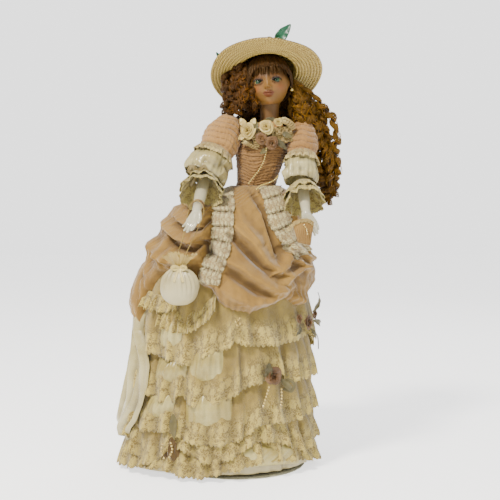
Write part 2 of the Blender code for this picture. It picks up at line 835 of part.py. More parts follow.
def leg(side, skins):
    """One leg: the stuffed thigh, the china calf with its boot, and the pantaloon leg over both."""
    hip, ankle = HIP[side], ANKLE[side]
    frame = limb_frame(hip, ankle)
    length = (ankle - hip).length
    knee = 0.52 * length
    thigh = turned(
        f"thigh_{side}",
        [
            (0, knee),
            (0.0085, knee - 0.001),
            (0.0100, knee - 0.012),
            (0.0115, 0.030),
            (0.0105, 0.000),
            (0.0060, -0.0085),
            (0, -0.0098),
        ],
        skins["muslin"],
        frame,
        steps=12,
    )
    calf = as_mesh(
        turned(
            f"shin_{side}",
            [
                (0, length + 0.012),
                (0.0060, length + 0.010),
                (0.0066, length - 0.015),
                (0.0098, knee + 0.040),
                (0.0090, knee + 0.008),
                (0, knee + 0.001),
            ],
            None,
            frame,
            steps=12,
        )
    )
    calf.data.materials.append(skins["white_china"])
    foot = Matrix.Translation(ankle + Vector((0, -0.010, -0.0155)))
    boot = ball(f"boot_{side}", (0.0085, 0.0195, 0.0085), None, foot, 12, 8, cutter_collection)
    boolean(calf, boot, "UNION")
    hem = length * 0.72
    pantaloon = cloth_tube(
        f"pantaloon_{side}",
        [(0.0165, hem), (0.0150, hem - 0.035), (0.0140, 0.050), (0.0134, 0.012)],
        skins["muslin"],
        frame,
        thickness=0.0010,
    )
    return [thigh, calf, pantaloon]


def purse(skins):
    """The drawstring purse with its frilled neck, the ribbon tie and the handle over the wrist."""
    profile = [
        (0, 0.2855),
        (0.0160, 0.2850),
        (0.0130, 0.2790),
        (0.0070, 0.2737),
        (0.0070, 0.2709),
        (0.0160, 0.2650),
        (0.0225, 0.2560),
        (0.0235, 0.2450),
        (0.0190, 0.2340),
        (0.0110, 0.2265),
        (0, 0.2250),
    ]
    bag = turned("purse_bag", profile, skins["white_satin"], Matrix.Translation(PURSE_AXIS), steps=18)
    bag.scale = (1, 0.75, 1)
    tie = turned(
        "purse_tie",
        [(0.0086, 0.2730), (0.0092, 0.2723), (0.0086, 0.2716), (0.0076, 0.2716), (0.0076, 0.2730)],
        skins["white_satin"],
        Matrix.Translation(PURSE_AXIS),
        steps=16,
        closed=True,
    )
    handle = cord("purse_handle", HANDLE_ROUTE, HANDLE_RADIUS, skins["white_satin"], 32)
    return [bag, tie, handle]


def bracelet(skins):
    """The thread round the right forearm, just above the purse's handle."""
    frame = limb_frame(ELBOW["right"], WRIST["right"])
    at = (WRIST["right"] - ELBOW["right"]).length - 0.0135
    ring = [(0.0082, at - 0.0006), (0.0082, at + 0.0006), (0.0072, at + 0.0006), (0.0072, at - 0.0006)]
    return turned("bracelet", ring[::-1], skins["gilt_thread"], frame, steps=16, closed=True)


def main():
    clear_scene()
    skins = materials()
    standing, sliding = stand(skins)
    doll = sliding + [torso(skins), shoulder_plate(skins), bodice(skins)] + skirts(skins) + trims(skins)
    root = pivot("stand", Vector((0, 0, 0)), standing)
    body = pivot("doll", Vector((POST_X, POST_Y, TUBE_TOP)), doll, root)
    neck = pivot("head", NECK, head_pieces(skins) + wig(skins), body)
    pivot("hat", HAT_CENTRE, hat_pieces(skins), neck)
    for side in SIDES:
        upper, lower = arm(side, skins)
        shoulder = pivot(f"arm_{side}", SHOULDER[side], upper, body)
        if side == "right":
            lower.append(bracelet(skins))
        elbow = pivot(f"forearm_{side}", ELBOW[side], lower, shoulder)
        if side == "right":
            pivot("purse", WRIST[side], purse(skins), elbow)
        pivot(f"leg_{side}", HIP[side], leg(side, skins), body)


main()
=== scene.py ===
"""The looks of a dressed porcelain collector's doll on its stand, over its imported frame.

Metres, +Z up, the doll faces -Y. Right and left are the doll's own, so right is -X.
"""

import json
import math

import bpy
import numpy as np
from mathutils import Euler, Matrix, Vector

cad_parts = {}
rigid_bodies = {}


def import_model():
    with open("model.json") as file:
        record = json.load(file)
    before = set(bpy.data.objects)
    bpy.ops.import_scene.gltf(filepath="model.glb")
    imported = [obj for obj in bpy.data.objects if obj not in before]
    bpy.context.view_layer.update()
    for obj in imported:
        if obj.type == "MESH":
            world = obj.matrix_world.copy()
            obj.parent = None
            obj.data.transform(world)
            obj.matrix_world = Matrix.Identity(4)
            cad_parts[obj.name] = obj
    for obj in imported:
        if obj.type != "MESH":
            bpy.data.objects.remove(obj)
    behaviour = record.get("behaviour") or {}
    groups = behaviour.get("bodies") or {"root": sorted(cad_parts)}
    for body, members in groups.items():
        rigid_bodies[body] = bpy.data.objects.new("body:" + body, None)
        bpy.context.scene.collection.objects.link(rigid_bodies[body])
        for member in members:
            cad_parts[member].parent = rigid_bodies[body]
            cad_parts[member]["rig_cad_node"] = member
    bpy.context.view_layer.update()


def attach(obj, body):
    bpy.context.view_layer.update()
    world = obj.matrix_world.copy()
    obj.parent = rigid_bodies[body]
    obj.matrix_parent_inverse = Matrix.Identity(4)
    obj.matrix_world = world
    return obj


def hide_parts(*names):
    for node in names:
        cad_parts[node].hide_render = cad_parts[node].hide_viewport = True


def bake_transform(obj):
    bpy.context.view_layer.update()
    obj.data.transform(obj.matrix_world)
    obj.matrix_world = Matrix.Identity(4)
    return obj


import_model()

# ---------------------------------------------------------------- camera, light and floor

CAMERA = np.array((0.016, -1.40, 0.378))
TILT = math.atan((0.378 - 0.2865) / 1.40)
LENS, SENSOR = 75.6, 36.0
HALF_VIEW = SENSOR / 2 / LENS


def seen(u, v, y):
    """The point at depth y that the camera sees at (u, v) of a 500 x 500 picture, from its top left."""
    u, v, y = np.asarray(u, float), np.asarray(v, float), np.asarray(y, float)
    across, up = (u - 250) / 250 * HALF_VIEW, (250 - v) / 250 * HALF_VIEW
    ray_y = math.cos(TILT) + up * math.sin(TILT)
    ray_z = up * math.cos(TILT) - math.sin(TILT)
    reach = (y - CAMERA[1]) / ray_y
    return np.stack([CAMERA[0] + across * reach, y + 0 * reach, CAMERA[2] + ray_z * reach], -1)


def picture(points):
    """Where the camera sees the points, (u, v) in the same picture."""
    away = np.asarray(points) - CAMERA
    depth = away[..., 1] * math.cos(TILT) - away[..., 2] * math.sin(TILT)
    up = away[..., 1] * math.sin(TILT) + away[..., 2] * math.cos(TILT)
    scale = 250 / HALF_VIEW / depth
    return np.stack([250 + away[..., 0] * scale, 250 - up * scale], -1)


def make_camera():
    camera = bpy.data.objects.new("camera", bpy.data.cameras.new("camera"))
    camera.data.lens, camera.data.sensor_width = LENS, SENSOR
    camera.location = CAMERA
    camera.rotation_euler = (math.pi / 2 - TILT, 0, 0)
    camera.data.clip_start = 0.01
    bpy.context.scene.collection.objects.link(camera)
    bpy.context.scene.camera = camera


def make_light(name, place, target, size, watts, colour=(1, 1, 1)):
    lamp = bpy.data.lights.new(name, "AREA")
    lamp.shape, lamp.size, lamp.energy, lamp.color = "DISK", size, watts, colour
    holder = bpy.data.objects.new(name, lamp)
    holder.location = place
    holder.rotation_euler = (Vector(target) - Vector(place)).to_track_quat("-Z", "Y").to_euler()
    bpy.context.scene.collection.objects.link(holder)


def make_studio():
    world = bpy.data.worlds.new("studio")
    bpy.context.scene.world = world
    world.use_nodes = True
    world.node_tree.nodes["Background"].inputs["Color"].default_value = (1, 1, 1, 1)
    # the backdrop is brighter to the eye than the light that it gives
    tree = world.node_tree
    path = tree.nodes.new("ShaderNodeLightPath").outputs["Is Camera Ray"]
    level = tree.nodes.new("ShaderNodeMapRange")
    level.inputs[3].default_value, level.inputs[4].default_value = 0.85, 2.25
    tree.links.new(path, level.inputs[0])
    tree.links.new(level.outputs[0], tree.nodes["Background"].inputs["Strength"])
    make_light("key", (-0.75, -1.15, 1.85), (0, 0, 0.3), 0.35, 84, (1, 0.95, 0.86))
    make_light("fill", (1.3, -1.3, 0.7), (0, 0, 0.25), 1.2, 6)
    make_light("rim", (0.6, 1.2, 1.3), (0, 0, 0.35), 0.8, 8)
    size = 4.0
    mesh = bpy.data.meshes.new("floor")
    corners = [(-size, -size, -0.0004), (size, -size, -0.0004), (size, size, -0.0004), (-size, size, -0.0004)]
    mesh.from_pydata(corners, [], [(0, 1, 2, 3)])
    floor = bpy.data.objects.new("floor", mesh)
    bpy.context.scene.collection.objects.link(floor)
    paint = Skin("floor_paint", (255, 255, 255), 0.6)
    paint.shader.inputs["Base Color"].default_value = (0.9, 0.9, 0.9, 1)
    paint.shader.inputs["Emission Color"].default_value = (1, 1, 1, 1)
    paint.shader.inputs["Emission Strength"].default_value = 1.45
    floor.data.materials.append(paint.material)


# ---------------------------------------------------------------- node materials


def linear(rgb):
    """A 0-255 colour as it shows in the bright studio, as the dye's linear values."""
    values = np.asarray(rgb, float) / 255
    values = np.where(values <= 0.04045, values / 12.92, ((values + 0.055) / 1.055) ** 2.4)
    middle = values.mean()
    deep = (middle + (values - middle) * 1.16) * (0.54, 0.51, 0.30)
    return tuple(float(v) for v in np.clip(deep, 0.002, 1))


class Skin:
    """A node material: a Principled shader and short calls that make the nodes before it."""

    def __init__(self, name, rgb, roughness, **sockets):
        self.material = bpy.data.materials.new(name)
        self.material.use_nodes = True
        self.tree = self.material.node_tree
        self.shader = self.tree.nodes["Principled BSDF"]
        self.shader.inputs["Base Color"].default_value = (*linear(rgb), 1)
        self.shader.inputs["Roughness"].default_value = roughness
        for socket, value in sockets.items():
            self.shader.inputs[socket.replace("_", " ")].default_value = value

    def put(self, socket, value):
        """Sets a socket or links it."""
        if isinstance(value, bpy.types.NodeSocket):
            self.tree.links.new(value, socket)
        else:
            socket.default_value = value

    def node(self, kind, inputs=None, **properties):
        made = self.tree.nodes.new(kind)
        for key, value in properties.items():
            setattr(made, key, value)
        for key, value in (inputs or {}).items():
            self.put(made.inputs[key], value)
        return made

    def math(self, operation, a, b=0.0, c=0.0):
        node = self.node("ShaderNodeMath", {0: a, 1: b, 2: c}, operation=operation)
        return node.outputs[0]

    def vector(self, operation, a, b=(0, 0, 0)):
        return self.node("ShaderNodeVectorMath", {0: a, 1: b}, operation=operation).outputs[0]

    def coords(self, kind="Object", scale=(1, 1, 1), turn=(0, 0, 0)):
        source = self.node("ShaderNodeTexCoord").outputs[kind]
        return self.node("ShaderNodeMapping", {"Vector": source, "Scale": scale, "Rotation": turn}).outputs[0]

    def noise(self, vector, scale, detail=3.0, roughness=0.55):
        inputs = {"Vector": vector, "Scale": scale, "Detail": detail, "Roughness": roughness}
        return self.node("ShaderNodeTexNoise", inputs).outputs[0]

    def step(self, value, low, high, out_low=0.0, out_high=1.0):
        inputs = {0: value, 1: low, 2: high, 3: out_low, 4: out_high}
        return self.node("ShaderNodeMapRange", inputs, interpolation_type="SMOOTHSTEP").outputs[0]

    def mix(self, factor, a, b):
        node = self.node("ShaderNodeMix", data_type="RGBA")
        self.put(node.inputs[0], factor)
        self.put(node.inputs[6], (*linear(a), 1) if isinstance(a, tuple) else a)
        self.put(node.inputs[7], (*linear(b), 1) if isinstance(b, tuple) else b)
        return node.outputs[2]

    def colour(self, value, fold_shaded=False):
        """Sets the colour; fold_shaded multiplies it by the piece's painted fold shade, held in its paint attribute."""
        if fold_shaded:
            value = self.vector("MULTIPLY", value, self.node("ShaderNodeVertexColor", layer_name="paint").outputs[0])
        self.put(self.shader.inputs["Base Color"], value)

    def rough(self, value):
        self.put(self.shader.inputs["Roughness"], value)

    def bump(self, height, distance, strength=1.0):
        inputs = {"Height": height, "Distance": distance, "Strength": strength}
        bump = self.node("ShaderNodeBump", inputs)
        self.tree.links.new(bump.outputs[0], self.shader.inputs["Normal"])


def weave(skin, vector, per_metre):
    """Height of a plain weave: two crossing sets of threads."""
    parts = skin.node("ShaderNodeSeparateXYZ", {0: vector}).outputs
    warp = skin.math("SINE", skin.math("MULTIPLY", parts[0], per_metre * 2 * math.pi))
    weft = skin.math("SINE", skin.math("MULTIPLY", parts[1], per_metre * 2 * math.pi))
    return skin.math("MULTIPLY", warp, weft)


def chiffon(name, light, dark, fold_shaded=False):
    """Sheer crinkled chiffon: fine weave, soft sheen, cloudy tone; fold_shaded adds painted shade in its folds."""
    skin = Skin(name, light, 0.75, Sheen_Weight=0.35, Sheen_Roughness=0.4)
    place = skin.coords("Object")
    cloudy = skin.noise(place, 38, 4, 0.6)
    crinkle = skin.noise(skin.coords("Object", (1, 1, 2.2)), 420, 3, 0.6)
    tone = skin.math("ADD", skin.math("MULTIPLY", cloudy, 0.75), skin.math("MULTIPLY", crinkle, 0.25))
    skin.colour(skin.mix(skin.step(tone, 0.36, 0.66), dark, light), fold_shaded)
    fine = weave(skin, skin.coords("UV"), 1800)
    height = skin.math("ADD", skin.math("MULTIPLY", crinkle, 0.8), skin.math("MULTIPLY", fine, 0.15))
    skin.bump(height, 0.0006, 0.6)
    skin.rough(skin.step(crinkle, 0.3, 0.7, 0.68, 0.85))
    return skin


def satin(name, light, dark, roughness=0.33, fold_shaded=False):
    """Smooth satin: long threads, a soft highlight and faint creases."""
    skin = Skin(name, light, roughness, Sheen_Weight=0.2, Sheen_Roughness=0.3)
    place = skin.coords("Object")
    cloudy = skin.noise(place, 30, 4, 0.55)
    # fold_shaded multiplies in the piece's painted fold shade
    skin.colour(skin.mix(skin.step(cloudy, 0.35, 0.68), dark, light), fold_shaded)
    crease = skin.noise(skin.coords("Object", (1, 1, 0.45)), 160, 3, 0.5)
    threads = skin.noise(skin.coords("UV", (4000, 500, 1)), 1.0, 1)
    skin.bump(skin.math("ADD", crease, skin.math("MULTIPLY", threads, 0.12)), 0.0008, 0.5)
    skin.rough(skin.step(threads, 0.3, 0.7, roughness - 0.05, roughness + 0.08))
    return skin


def lace(name, thread, gap, motif=0.013, border=0.009, clear=0.42, fold_shaded=False):
    """Machine lace: rosettes on a net, two cords along the scalloped edge; UV is in metres, v from the edge."""
    skin = Skin(name, thread, 0.85, Sheen_Weight=0.25)
    place = skin.coords("UV")
    wander = skin.node("ShaderNodeTexNoise", {"Vector": place, "Scale": 90.0, "Detail": 2.0}).outputs["Color"]
    moved = skin.vector("ADD", place, skin.vector("MULTIPLY", wander, (0.0022, 0.0022, 0)))
    parts = skin.node("ShaderNodeSeparateXYZ", {0: moved}).outputs

    cells = skin.node("ShaderNodeTexVoronoi", {"Vector": moved, "Scale": 1 / motif, "Randomness": 0.55})
    centre = skin.vector("MULTIPLY", cells.outputs["Position"], (1, 1, 0))
    arm = skin.vector("SUBTRACT", moved, centre)
    legs = skin.node("ShaderNodeSeparateXYZ", {0: arm}).outputs
    around = skin.math("ARCTAN2", legs[1], legs[0])
    radius = skin.math("SQRT", skin.math("ADD", skin.math("POWER", legs[0], 2.0), skin.math("POWER", legs[1], 2.0)))
    petals = skin.math("ABSOLUTE", skin.math("COSINE", skin.math("MULTIPLY", around, 3.0)))
    edge = skin.math("MULTIPLY_ADD", petals, motif * 0.16, motif * 0.26)
    inside = skin.step(skin.math("SUBTRACT", edge, radius), -0.0003, 0.0003)
    veins = skin.step(skin.math("SINE", skin.math("MULTIPLY", radius, 2 * math.pi / 0.0016)), -0.75, -0.2)
    flower = skin.math("MULTIPLY", inside, veins)

    sprays = skin.noise(moved, 230, 2, 0.5)
    stems = skin.math("SUBTRACT", 1.0, skin.step(skin.math("ABSOLUTE", skin.math("SUBTRACT", sprays, 0.5)), 0.012, 0.05))
    net_step = 2 * math.pi / 0.0019
    a = skin.math("SINE", skin.math("MULTIPLY", skin.math("ADD", parts[0], parts[1]), net_step))
    b = skin.math("SINE", skin.math("MULTIPLY", skin.math("SUBTRACT", parts[0], parts[1]), net_step))
    net = skin.step(skin.math("MAXIMUM", a, b), 0.35, 0.75)

    swing = skin.math("ABSOLUTE", skin.math("SINE", skin.math("MULTIPLY", parts[0], math.pi / 0.011)))
    wave = skin.math("SUBTRACT", parts[1], skin.math("MULTIPLY", swing, 0.0022))
    cord_1 = skin.math("SUBTRACT", 1.0, skin.step(skin.math("ABSOLUTE", skin.math("SUBTRACT", wave, border * 0.45)), 0.0002, 0.0007))
    cord_2 = skin.math("SUBTRACT", 1.0, skin.step(skin.math("ABSOLUTE", skin.math("SUBTRACT", wave, border)), 0.0002, 0.0006))
    rim = skin.math("SUBTRACT", 1.0, skin.step(parts[1], 0.0008, 0.0016))
    cords = skin.math("MAXIMUM", cord_1, skin.math("MAXIMUM", cord_2, rim))

    near = skin.step(parts[1], border * 2.2, border * 4.5, 1.0, 0.35)
    motifs = skin.math("MULTIPLY", skin.math("MAXIMUM", flower, stems), near)
    body = skin.math("MAXIMUM", motifs, cords)
    faint = skin.math("MULTIPLY_ADD", net, 0.26, 0.16)
    full = skin.math("MAXIMUM", body, faint)
    ageing = skin.noise(skin.coords("Object"), 24, 3)
    warm = skin.mix(skin.step(ageing, 0.35, 0.65), tuple(int(c * 0.93) for c in thread), thread)
    # fold_shaded multiplies in the piece's painted fold shade
    skin.colour(skin.mix(full, gap, warm), fold_shaded)
    skin.put(skin.shader.inputs["Alpha"], skin.step(full, 0.0, 0.5, clear, 1.0))
    skin.bump(full, 0.0009, 1.0)
    return skin


def china(name, rgb, dark, roughness, coat):
    """Fired china: a faint cloudiness under the surface and a little unevenness of the glaze."""
    skin = Skin(name, rgb, roughness, Coat_Weight=coat, Coat_Roughness=0.12, Subsurface_Weight=0.08)
    skin.shader.inputs["Subsurface Radius"].default_value = (0.003, 0.0015, 0.001)
    skin.shader.inputs["Subsurface Scale"].default_value = 0.5
    cloudy = skin.noise(skin.coords("Object"), 60, 3)
    skin.colour(skin.mix(skin.step(cloudy, 0.3, 0.7), dark, rgb))
    skin.bump(skin.noise(skin.coords("Object"), 300, 2), 0.0001, 0.3)
    return skin


def painted_bisque():
    """The head's matte bisque: its painted features, and painted shade on the forehead and neck, are in the colour
    attribute.
    """
    skin = Skin("painted_bisque", (226, 180, 148), 0.55, Subsurface_Weight=0.06)
    skin.shader.inputs["Specular IOR Level"].default_value = 0.35
    skin.shader.inputs["Subsurface Scale"].default_value = 0.4
    skin.shader.inputs["Subsurface Radius"].default_value = (0.003, 0.0012, 0.0008)
    paint = skin.node("ShaderNodeVertexColor", layer_name="paint").outputs[0]
    cloudy = skin.step(skin.noise(skin.coords("Object"), 110, 3), 0.3, 0.7, 0.96, 1.0)
    tint = skin.node("ShaderNodeVectorMath", {0: paint, 3: cloudy}, operation="SCALE").outputs[0]
    skin.colour(tint)
    skin.bump(skin.noise(skin.coords("Object"), 900, 2), 0.00005, 0.3)
    return skin


def hair_skin():
    """Wig fibre: long streaks from dark brown to ginger gold along each lock."""
    skin = Skin("hair", (120, 78, 32), 0.45)
    skin.shader.inputs["Specular IOR Level"].default_value = 0.3
    skin.shader.inputs["Specular Tint"].default_value = (1.0, 0.76, 0.52, 1)
    lock = skin.node("ShaderNodeVertexColor", layer_name="paint").outputs[0]
    streak = skin.noise(skin.coords("UV", (900, 14, 1)), 1.0, 2)
    dark = skin.node("ShaderNodeVectorMath", {0: lock, 3: 0.55}, operation="SCALE").outputs[0]
    light = skin.node("ShaderNodeVectorMath", {0: lock, 3: 1.35}, operation="SCALE").outputs[0]
    skin.colour(skin.mix(skin.step(streak, 0.3, 0.7), dark, light))
    skin.bump(skin.noise(skin.coords("UV", (1800, 20, 1)), 1.0, 2), 0.0003, 0.5)
    return skin


def straw_skin():
    """Plaited straw: the crossing of the plait in UV, row by row, and shiny flecks."""
    skin = Skin("straw", (214, 190, 134), 0.5)
    parts = skin.node("ShaderNodeSeparateXYZ", {0: skin.coords("UV")}).outputs
    slant = skin.math("PINGPONG", skin.math("MULTIPLY", parts[1], 250.0), 0.5)
    crossing = skin.math("ADD", skin.math("MULTIPLY", parts[0], 330.0), skin.math("MULTIPLY", slant, 1.6))
    strand = skin.math("SINE", skin.math("MULTIPLY", crossing, 2 * math.pi))
    fleck = skin.noise(skin.coords("UV", (700, 500, 1)), 1.0, 3)
    tone = skin.math("MULTIPLY_ADD", strand, 0.18, fleck)
    pale = skin.mix(skin.step(tone, 0.35, 0.62), (150, 122, 66), (222, 200, 140))
    row = skin.step(skin.math("PINGPONG", skin.math("MULTIPLY", parts[1], 250.0), 0.5), 0.0, 0.10)
    skin.colour(skin.mix(row, (104, 78, 34), pale))
    skin.bump(skin.math("MULTIPLY_ADD", strand, 0.6, skin.math("MULTIPLY", fleck, 0.5)), 0.0004, 0.8)
    skin.rough(skin.step(fleck, 0.3, 0.7, 0.42, 0.65))
    return skin


def steel_skin():
    skin = Skin("steel", (190, 190, 192), 0.35, Metallic=0.2)
    scratches = skin.noise(skin.coords("Object", (1, 1, 12)), 240, 3)
    skin.rough(skin.step(scratches, 0.3, 0.7, 0.22, 0.42))
    skin.colour(skin.mix(skin.step(skin.noise(skin.coords("Object"), 40, 3), 0.35, 0.65), (206, 208, 222), (232, 234, 250)))
    skin.bump(scratches, 0.0001, 0.3)
    return skin


def pearl_skin():
    skin = Skin("pearl", (236, 222, 184), 0.22, Coat_Weight=0.6, Coat_Roughness=0.1)
    layer = skin.noise(skin.coords("Object"), 500, 2)
    skin.colour(skin.mix(skin.step(layer, 0.35, 0.65), (206, 180, 126), (232, 212, 162)))
    return skin


def eye_skin():
    """Glass eye: UV is (angle, distance from the pupil's centre in metres)."""
    skin = Skin("eye_glass", (236, 232, 224), 0.12, Coat_Weight=0.15, Coat_Roughness=0.03)
    skin.shader.inputs["Specular IOR Level"].default_value = 0.2
    parts = skin.node("ShaderNodeSeparateXYZ", {0: skin.coords("UV")}).outputs
    distance = parts[1]
    rays = skin.noise(skin.coords("UV", (46, 900, 1)), 1.0, 3)
    iris = skin.mix(skin.step(rays, 0.3, 0.7), (22, 46, 44), (84, 118, 104))
    iris = skin.mix(skin.step(distance, 0.0027, 0.0038), iris, (14, 24, 24))
    white = skin.mix(skin.step(distance, 0.0038, 0.0042), iris, (150, 136, 110))
    skin.colour(skin.mix(skin.step(distance, 0.0011, 0.0013), (6, 6, 8), white))
    return skin


# ---------------------------------------------------------------- mesh making


def grid_faces(rows, cols, wrap=False):
    """Quads over a grid of points, row by row; wrap closes each row."""
    i = np.arange(rows - 1)[:, None]
    j = np.arange(cols if wrap else cols - 1)[None, :]
    k = (j + 1) % cols
    return np.stack([i * cols + j, i * cols + k, (i + 1) * cols + k, (i + 1) * cols + j], -1).reshape(-1, 4)


def grid_normals(points, wrap=False):
    """Unit normals of a grid, row direction crossed into column direction."""
    if wrap:
        across = np.roll(points, -1, 1) - np.roll(points, 1, 1)
    else:
        across = np.gradient(points, axis=1)
    along = np.gradient(points, axis=0)
    normal = np.cross(across, along)
    return normal / np.maximum(np.linalg.norm(normal, axis=-1, keepdims=True), 1e-12)


def cloth(points, thickness=0.0005, wrap=False, uv=None):
    """A closed thin sheet: the grid is one face of it, and the other lies behind its normals."""
    rows, cols = points.shape[:2]
    inner = points - grid_normals(points, wrap) * thickness
    outer_faces = grid_faces(rows, cols, wrap)
    count = rows * cols
    faces = [outer_faces, outer_faces[:, ::-1] + count]
    index = np.arange(count).reshape(rows, cols)
    ends = [(index[0], np.roll(index[0], -1)), (np.roll(index[-1], -1), index[-1])]
    if not wrap:
        ends = [(index[0, :-1], index[0, 1:]), (index[-1, 1:], index[-1, :-1])]
        ends += [(index[1:, 0], index[:-1, 0]), (index[:-1, -1], index[1:, -1])]
    for a, b in ends:
        faces.append(np.stack([b, a, a + count, b + count], -1))
    verts = np.concatenate([points.reshape(-1, 3), inner.reshape(-1, 3)])
    both = None if uv is None else np.concatenate([uv.reshape(-1, 2)] * 2)
    return verts, [np.concatenate(faces)], both


def paths_frames(paths):
    """Two unit vectors across each path at each point, carried along without twist; paths is (m, n, 3)."""
    along = np.gradient(paths, axis=1)
    along /= np.maximum(np.linalg.norm(along, axis=-1, keepdims=True), 1e-12)
    start = np.where(np.abs(along[:, :1, 2:]) < 0.9, np.array((0, 0, 1.0)), np.array((1.0, 0, 0)))[:, 0]
    side = np.cross(along[:, 0], start)
    side /= np.linalg.norm(side, axis=-1, keepdims=True)
    sides = [side]
    for i in range(1, paths.shape[1]):
        side = side - along[:, i] * (side * along[:, i]).sum(-1, keepdims=True)
        side /= np.maximum(np.linalg.norm(side, axis=-1, keepdims=True), 1e-12)
        sides.append(side)
    first = np.stack(sides, 1)
    return first, np.cross(along, first)


def tubes(paths, radii, sides=6, flat=1.0):
    """Round tubes with closed ends along many paths (m, n, 3); radii is (m, n) or one number."""
    paths = np.asarray(paths, float)
    many, long = paths.shape[:2]
    radii = np.broadcast_to(np.asarray(radii, float), (many, long))
    first, second = paths_frames(paths)
    angle = np.arange(sides) * 2 * math.pi / sides
    ring = np.cos(angle)[:, None] * first[:, :, None] + flat * np.sin(angle)[:, None] * second[:, :, None]
    verts = paths[:, :, None] + radii[:, :, None, None] * ring
    faces = grid_faces(long, sides, wrap=True)
    starts = (np.arange(many) * long * sides)[:, None, None]
    quads = (faces[None] + starts).reshape(-1, 4)
    cap = np.arange(sides)
    low = (cap[::-1][None] + starts[:, 0]).reshape(many, sides)
    high = (cap[None] + starts[:, 0] + (long - 1) * sides).reshape(many, sides)
    lengths = np.concatenate([np.zeros((many, 1)), np.cumsum(np.linalg.norm(np.diff(paths, axis=1), axis=-1), 1)], 1)
    uv = np.stack(np.broadcast_arrays(np.arange(sides)[None, None] / sides * 0.01, lengths[:, :, None]), -1)
    uv = uv + np.arange(many)[:, None, None, None] * np.array((0.013, 0.0))
    return verts.reshape(-1, 3), [quads, low, high], uv.reshape(-1, 2)


def lathe(profile, steps=48, frame_matrix=None, shape=None):
    """A closed turned solid from (radius, height) points that start and end on the axis; shape moves its points."""
    profile = np.asarray(profile, float)
    angle = np.arange(steps) * 2 * math.pi / steps
    inner = profile[1:-1]
    verts = np.stack(
        np.broadcast_arrays(inner[:, :1] * np.cos(angle), inner[:, :1] * np.sin(angle), inner[:, 1:]), -1
    ).reshape(-1, 3)
    rows = len(inner)
    quads = grid_faces(rows, steps, wrap=True)
    tips = np.array([(0, 0, profile[0, 1]), (0, 0, profile[-1, 1])])
    verts = np.concatenate([verts, tips])
    a, b = rows * steps, rows * steps + 1
    ring = np.arange(steps)
    after = (ring + 1) % steps
    low = np.stack([after, ring, np.full(steps, a)], -1)
    high = np.stack([ring, after, np.full(steps, b)], -1) + np.array([(rows - 1) * steps, (rows - 1) * steps, 0])
    if profile[0, 1] > profile[-1, 1]:
        quads, low, high = quads[:, ::-1], low[:, ::-1], high[:, ::-1]
    if shape is not None:
        verts = shape(verts)
    if frame_matrix is not None:
        verts = moved(verts, frame_matrix)
    return verts, [quads, low, high], None


def moved(points, matrix):
    """The points through a 4 x 4 matrix."""
    grid = np.array(matrix)
    return np.asarray(points) @ grid[:3, :3].T + grid[:3, 3]


def joined(*parts):
    """One mesh from several: verts, face arrays and UVs."""
    verts, faces, uvs, start = [], [], [], 0
    for points, polygons, uv in parts:
        verts.append(points)
        faces += [polygon + start for polygon in polygons]
        uvs.append(np.zeros((len(points), 2)) if uv is None else uv)
        start += len(points)
    return np.concatenate(verts), faces, np.concatenate(uvs)


def piece(name, part, skin, body=None, stands_for=(), paint=None):
    """A finished object from (verts, face arrays, uv): its material, the body it rides on, what it replaces."""
    verts, faces, uv = part
    mesh = bpy.data.meshes.new(name)
    loops = np.concatenate([polygon.reshape(-1) for polygon in faces]).astype(np.int32)
    sizes = np.concatenate([np.full(len(polygon), polygon.shape[1]) for polygon in faces])
    mesh.vertices.add(len(verts))
    mesh.vertices.foreach_set("co", np.ascontiguousarray(verts, np.float32).ravel())
    mesh.loops.add(len(loops))
    mesh.loops.foreach_set("vertex_index", loops)
    mesh.polygons.add(len(sizes))
    mesh.polygons.foreach_set("loop_start", np.concatenate([[0], np.cumsum(sizes)[:-1]]).astype(np.int32))
    mesh.update(calc_edges=True)
    layer = mesh.uv_layers.new(name="uv")
    flat = np.zeros((len(verts), 2)) if uv is None else uv
    layer.uv.foreach_set("vector", flat[loops].astype(np.float32).ravel())
    if paint is not None:
        attribute = mesh.color_attributes.new("paint", "FLOAT_COLOR", "POINT")
        attribute.data.foreach_set("color", np.concatenate([paint, np.ones((len(paint), 1))], 1).astype(np.float32).ravel())
    mesh.shade_smooth()
    made = bpy.data.objects.new(name, mesh)
    made.data.materials.append(skin.material)
    bpy.context.scene.collection.objects.link(made)
    if stands_for:
        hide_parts(*stands_for)
    if body:
        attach(made, body)
    return made


def smooth_path(points, count):
    """Points along one smooth curve through the given ones, ends included."""
    path = np.asarray(points, float)
    path = np.concatenate([[2 * path[0] - path[1]], path, [2 * path[-1] - path[-2]]])
    at = np.linspace(0, len(path) - 3, count)
    k = np.minimum(at.astype(int), len(path) - 4)
    t = (at - k)[:, None]
    a, b, c, d = path[k], path[k + 1], path[k + 2], path[k + 3]
    return (2 * b + (c - a) * t + (2 * a - 5 * b + 4 * c - d) * t**2 + (3 * b - a - 3 * c + d) * t**3) / 2


def evenly(path, count):
    """The path read again at equal distances."""
    step = np.concatenate([[0], np.cumsum(np.linalg.norm(np.diff(path, axis=0), axis=1))])
    at = np.linspace(0, step[-1], count)
    return np.stack([np.interp(at, step, path[:, i]) for i in range(path.shape[1])], -1)


def path_length(path):
    return float(np.linalg.norm(np.diff(path, axis=0), axis=1).sum())


def smoothstep(x, low, high):
    t = np.clip((np.asarray(x, float) - low) / (high - low), 0, 1)
    return t * t * (3 - 2 * t)


def rippled(shape, seed, cells):
    """Smooth random values in -1..1 over a grid, with about cells waves across each side."""
    rng = np.random.default_rng(seed)
    coarse = rng.uniform(-1, 1, (cells[0] + 3, cells[1] + 3))
    y = np.linspace(0, cells[0], shape[0])
    x = np.linspace(0, cells[1], shape[1])
    yi, xi = y.astype(int), x.astype(int)
    ty, tx = smoothstep(y - yi, 0, 1)[:, None], smoothstep(x - xi, 0, 1)[None]
    top = coarse[yi][:, xi] * (1 - tx) + coarse[yi][:, xi + 1] * tx
    low = coarse[yi + 1][:, xi] * (1 - tx) + coarse[yi + 1][:, xi + 1] * tx
    return top * (1 - ty) + low * ty


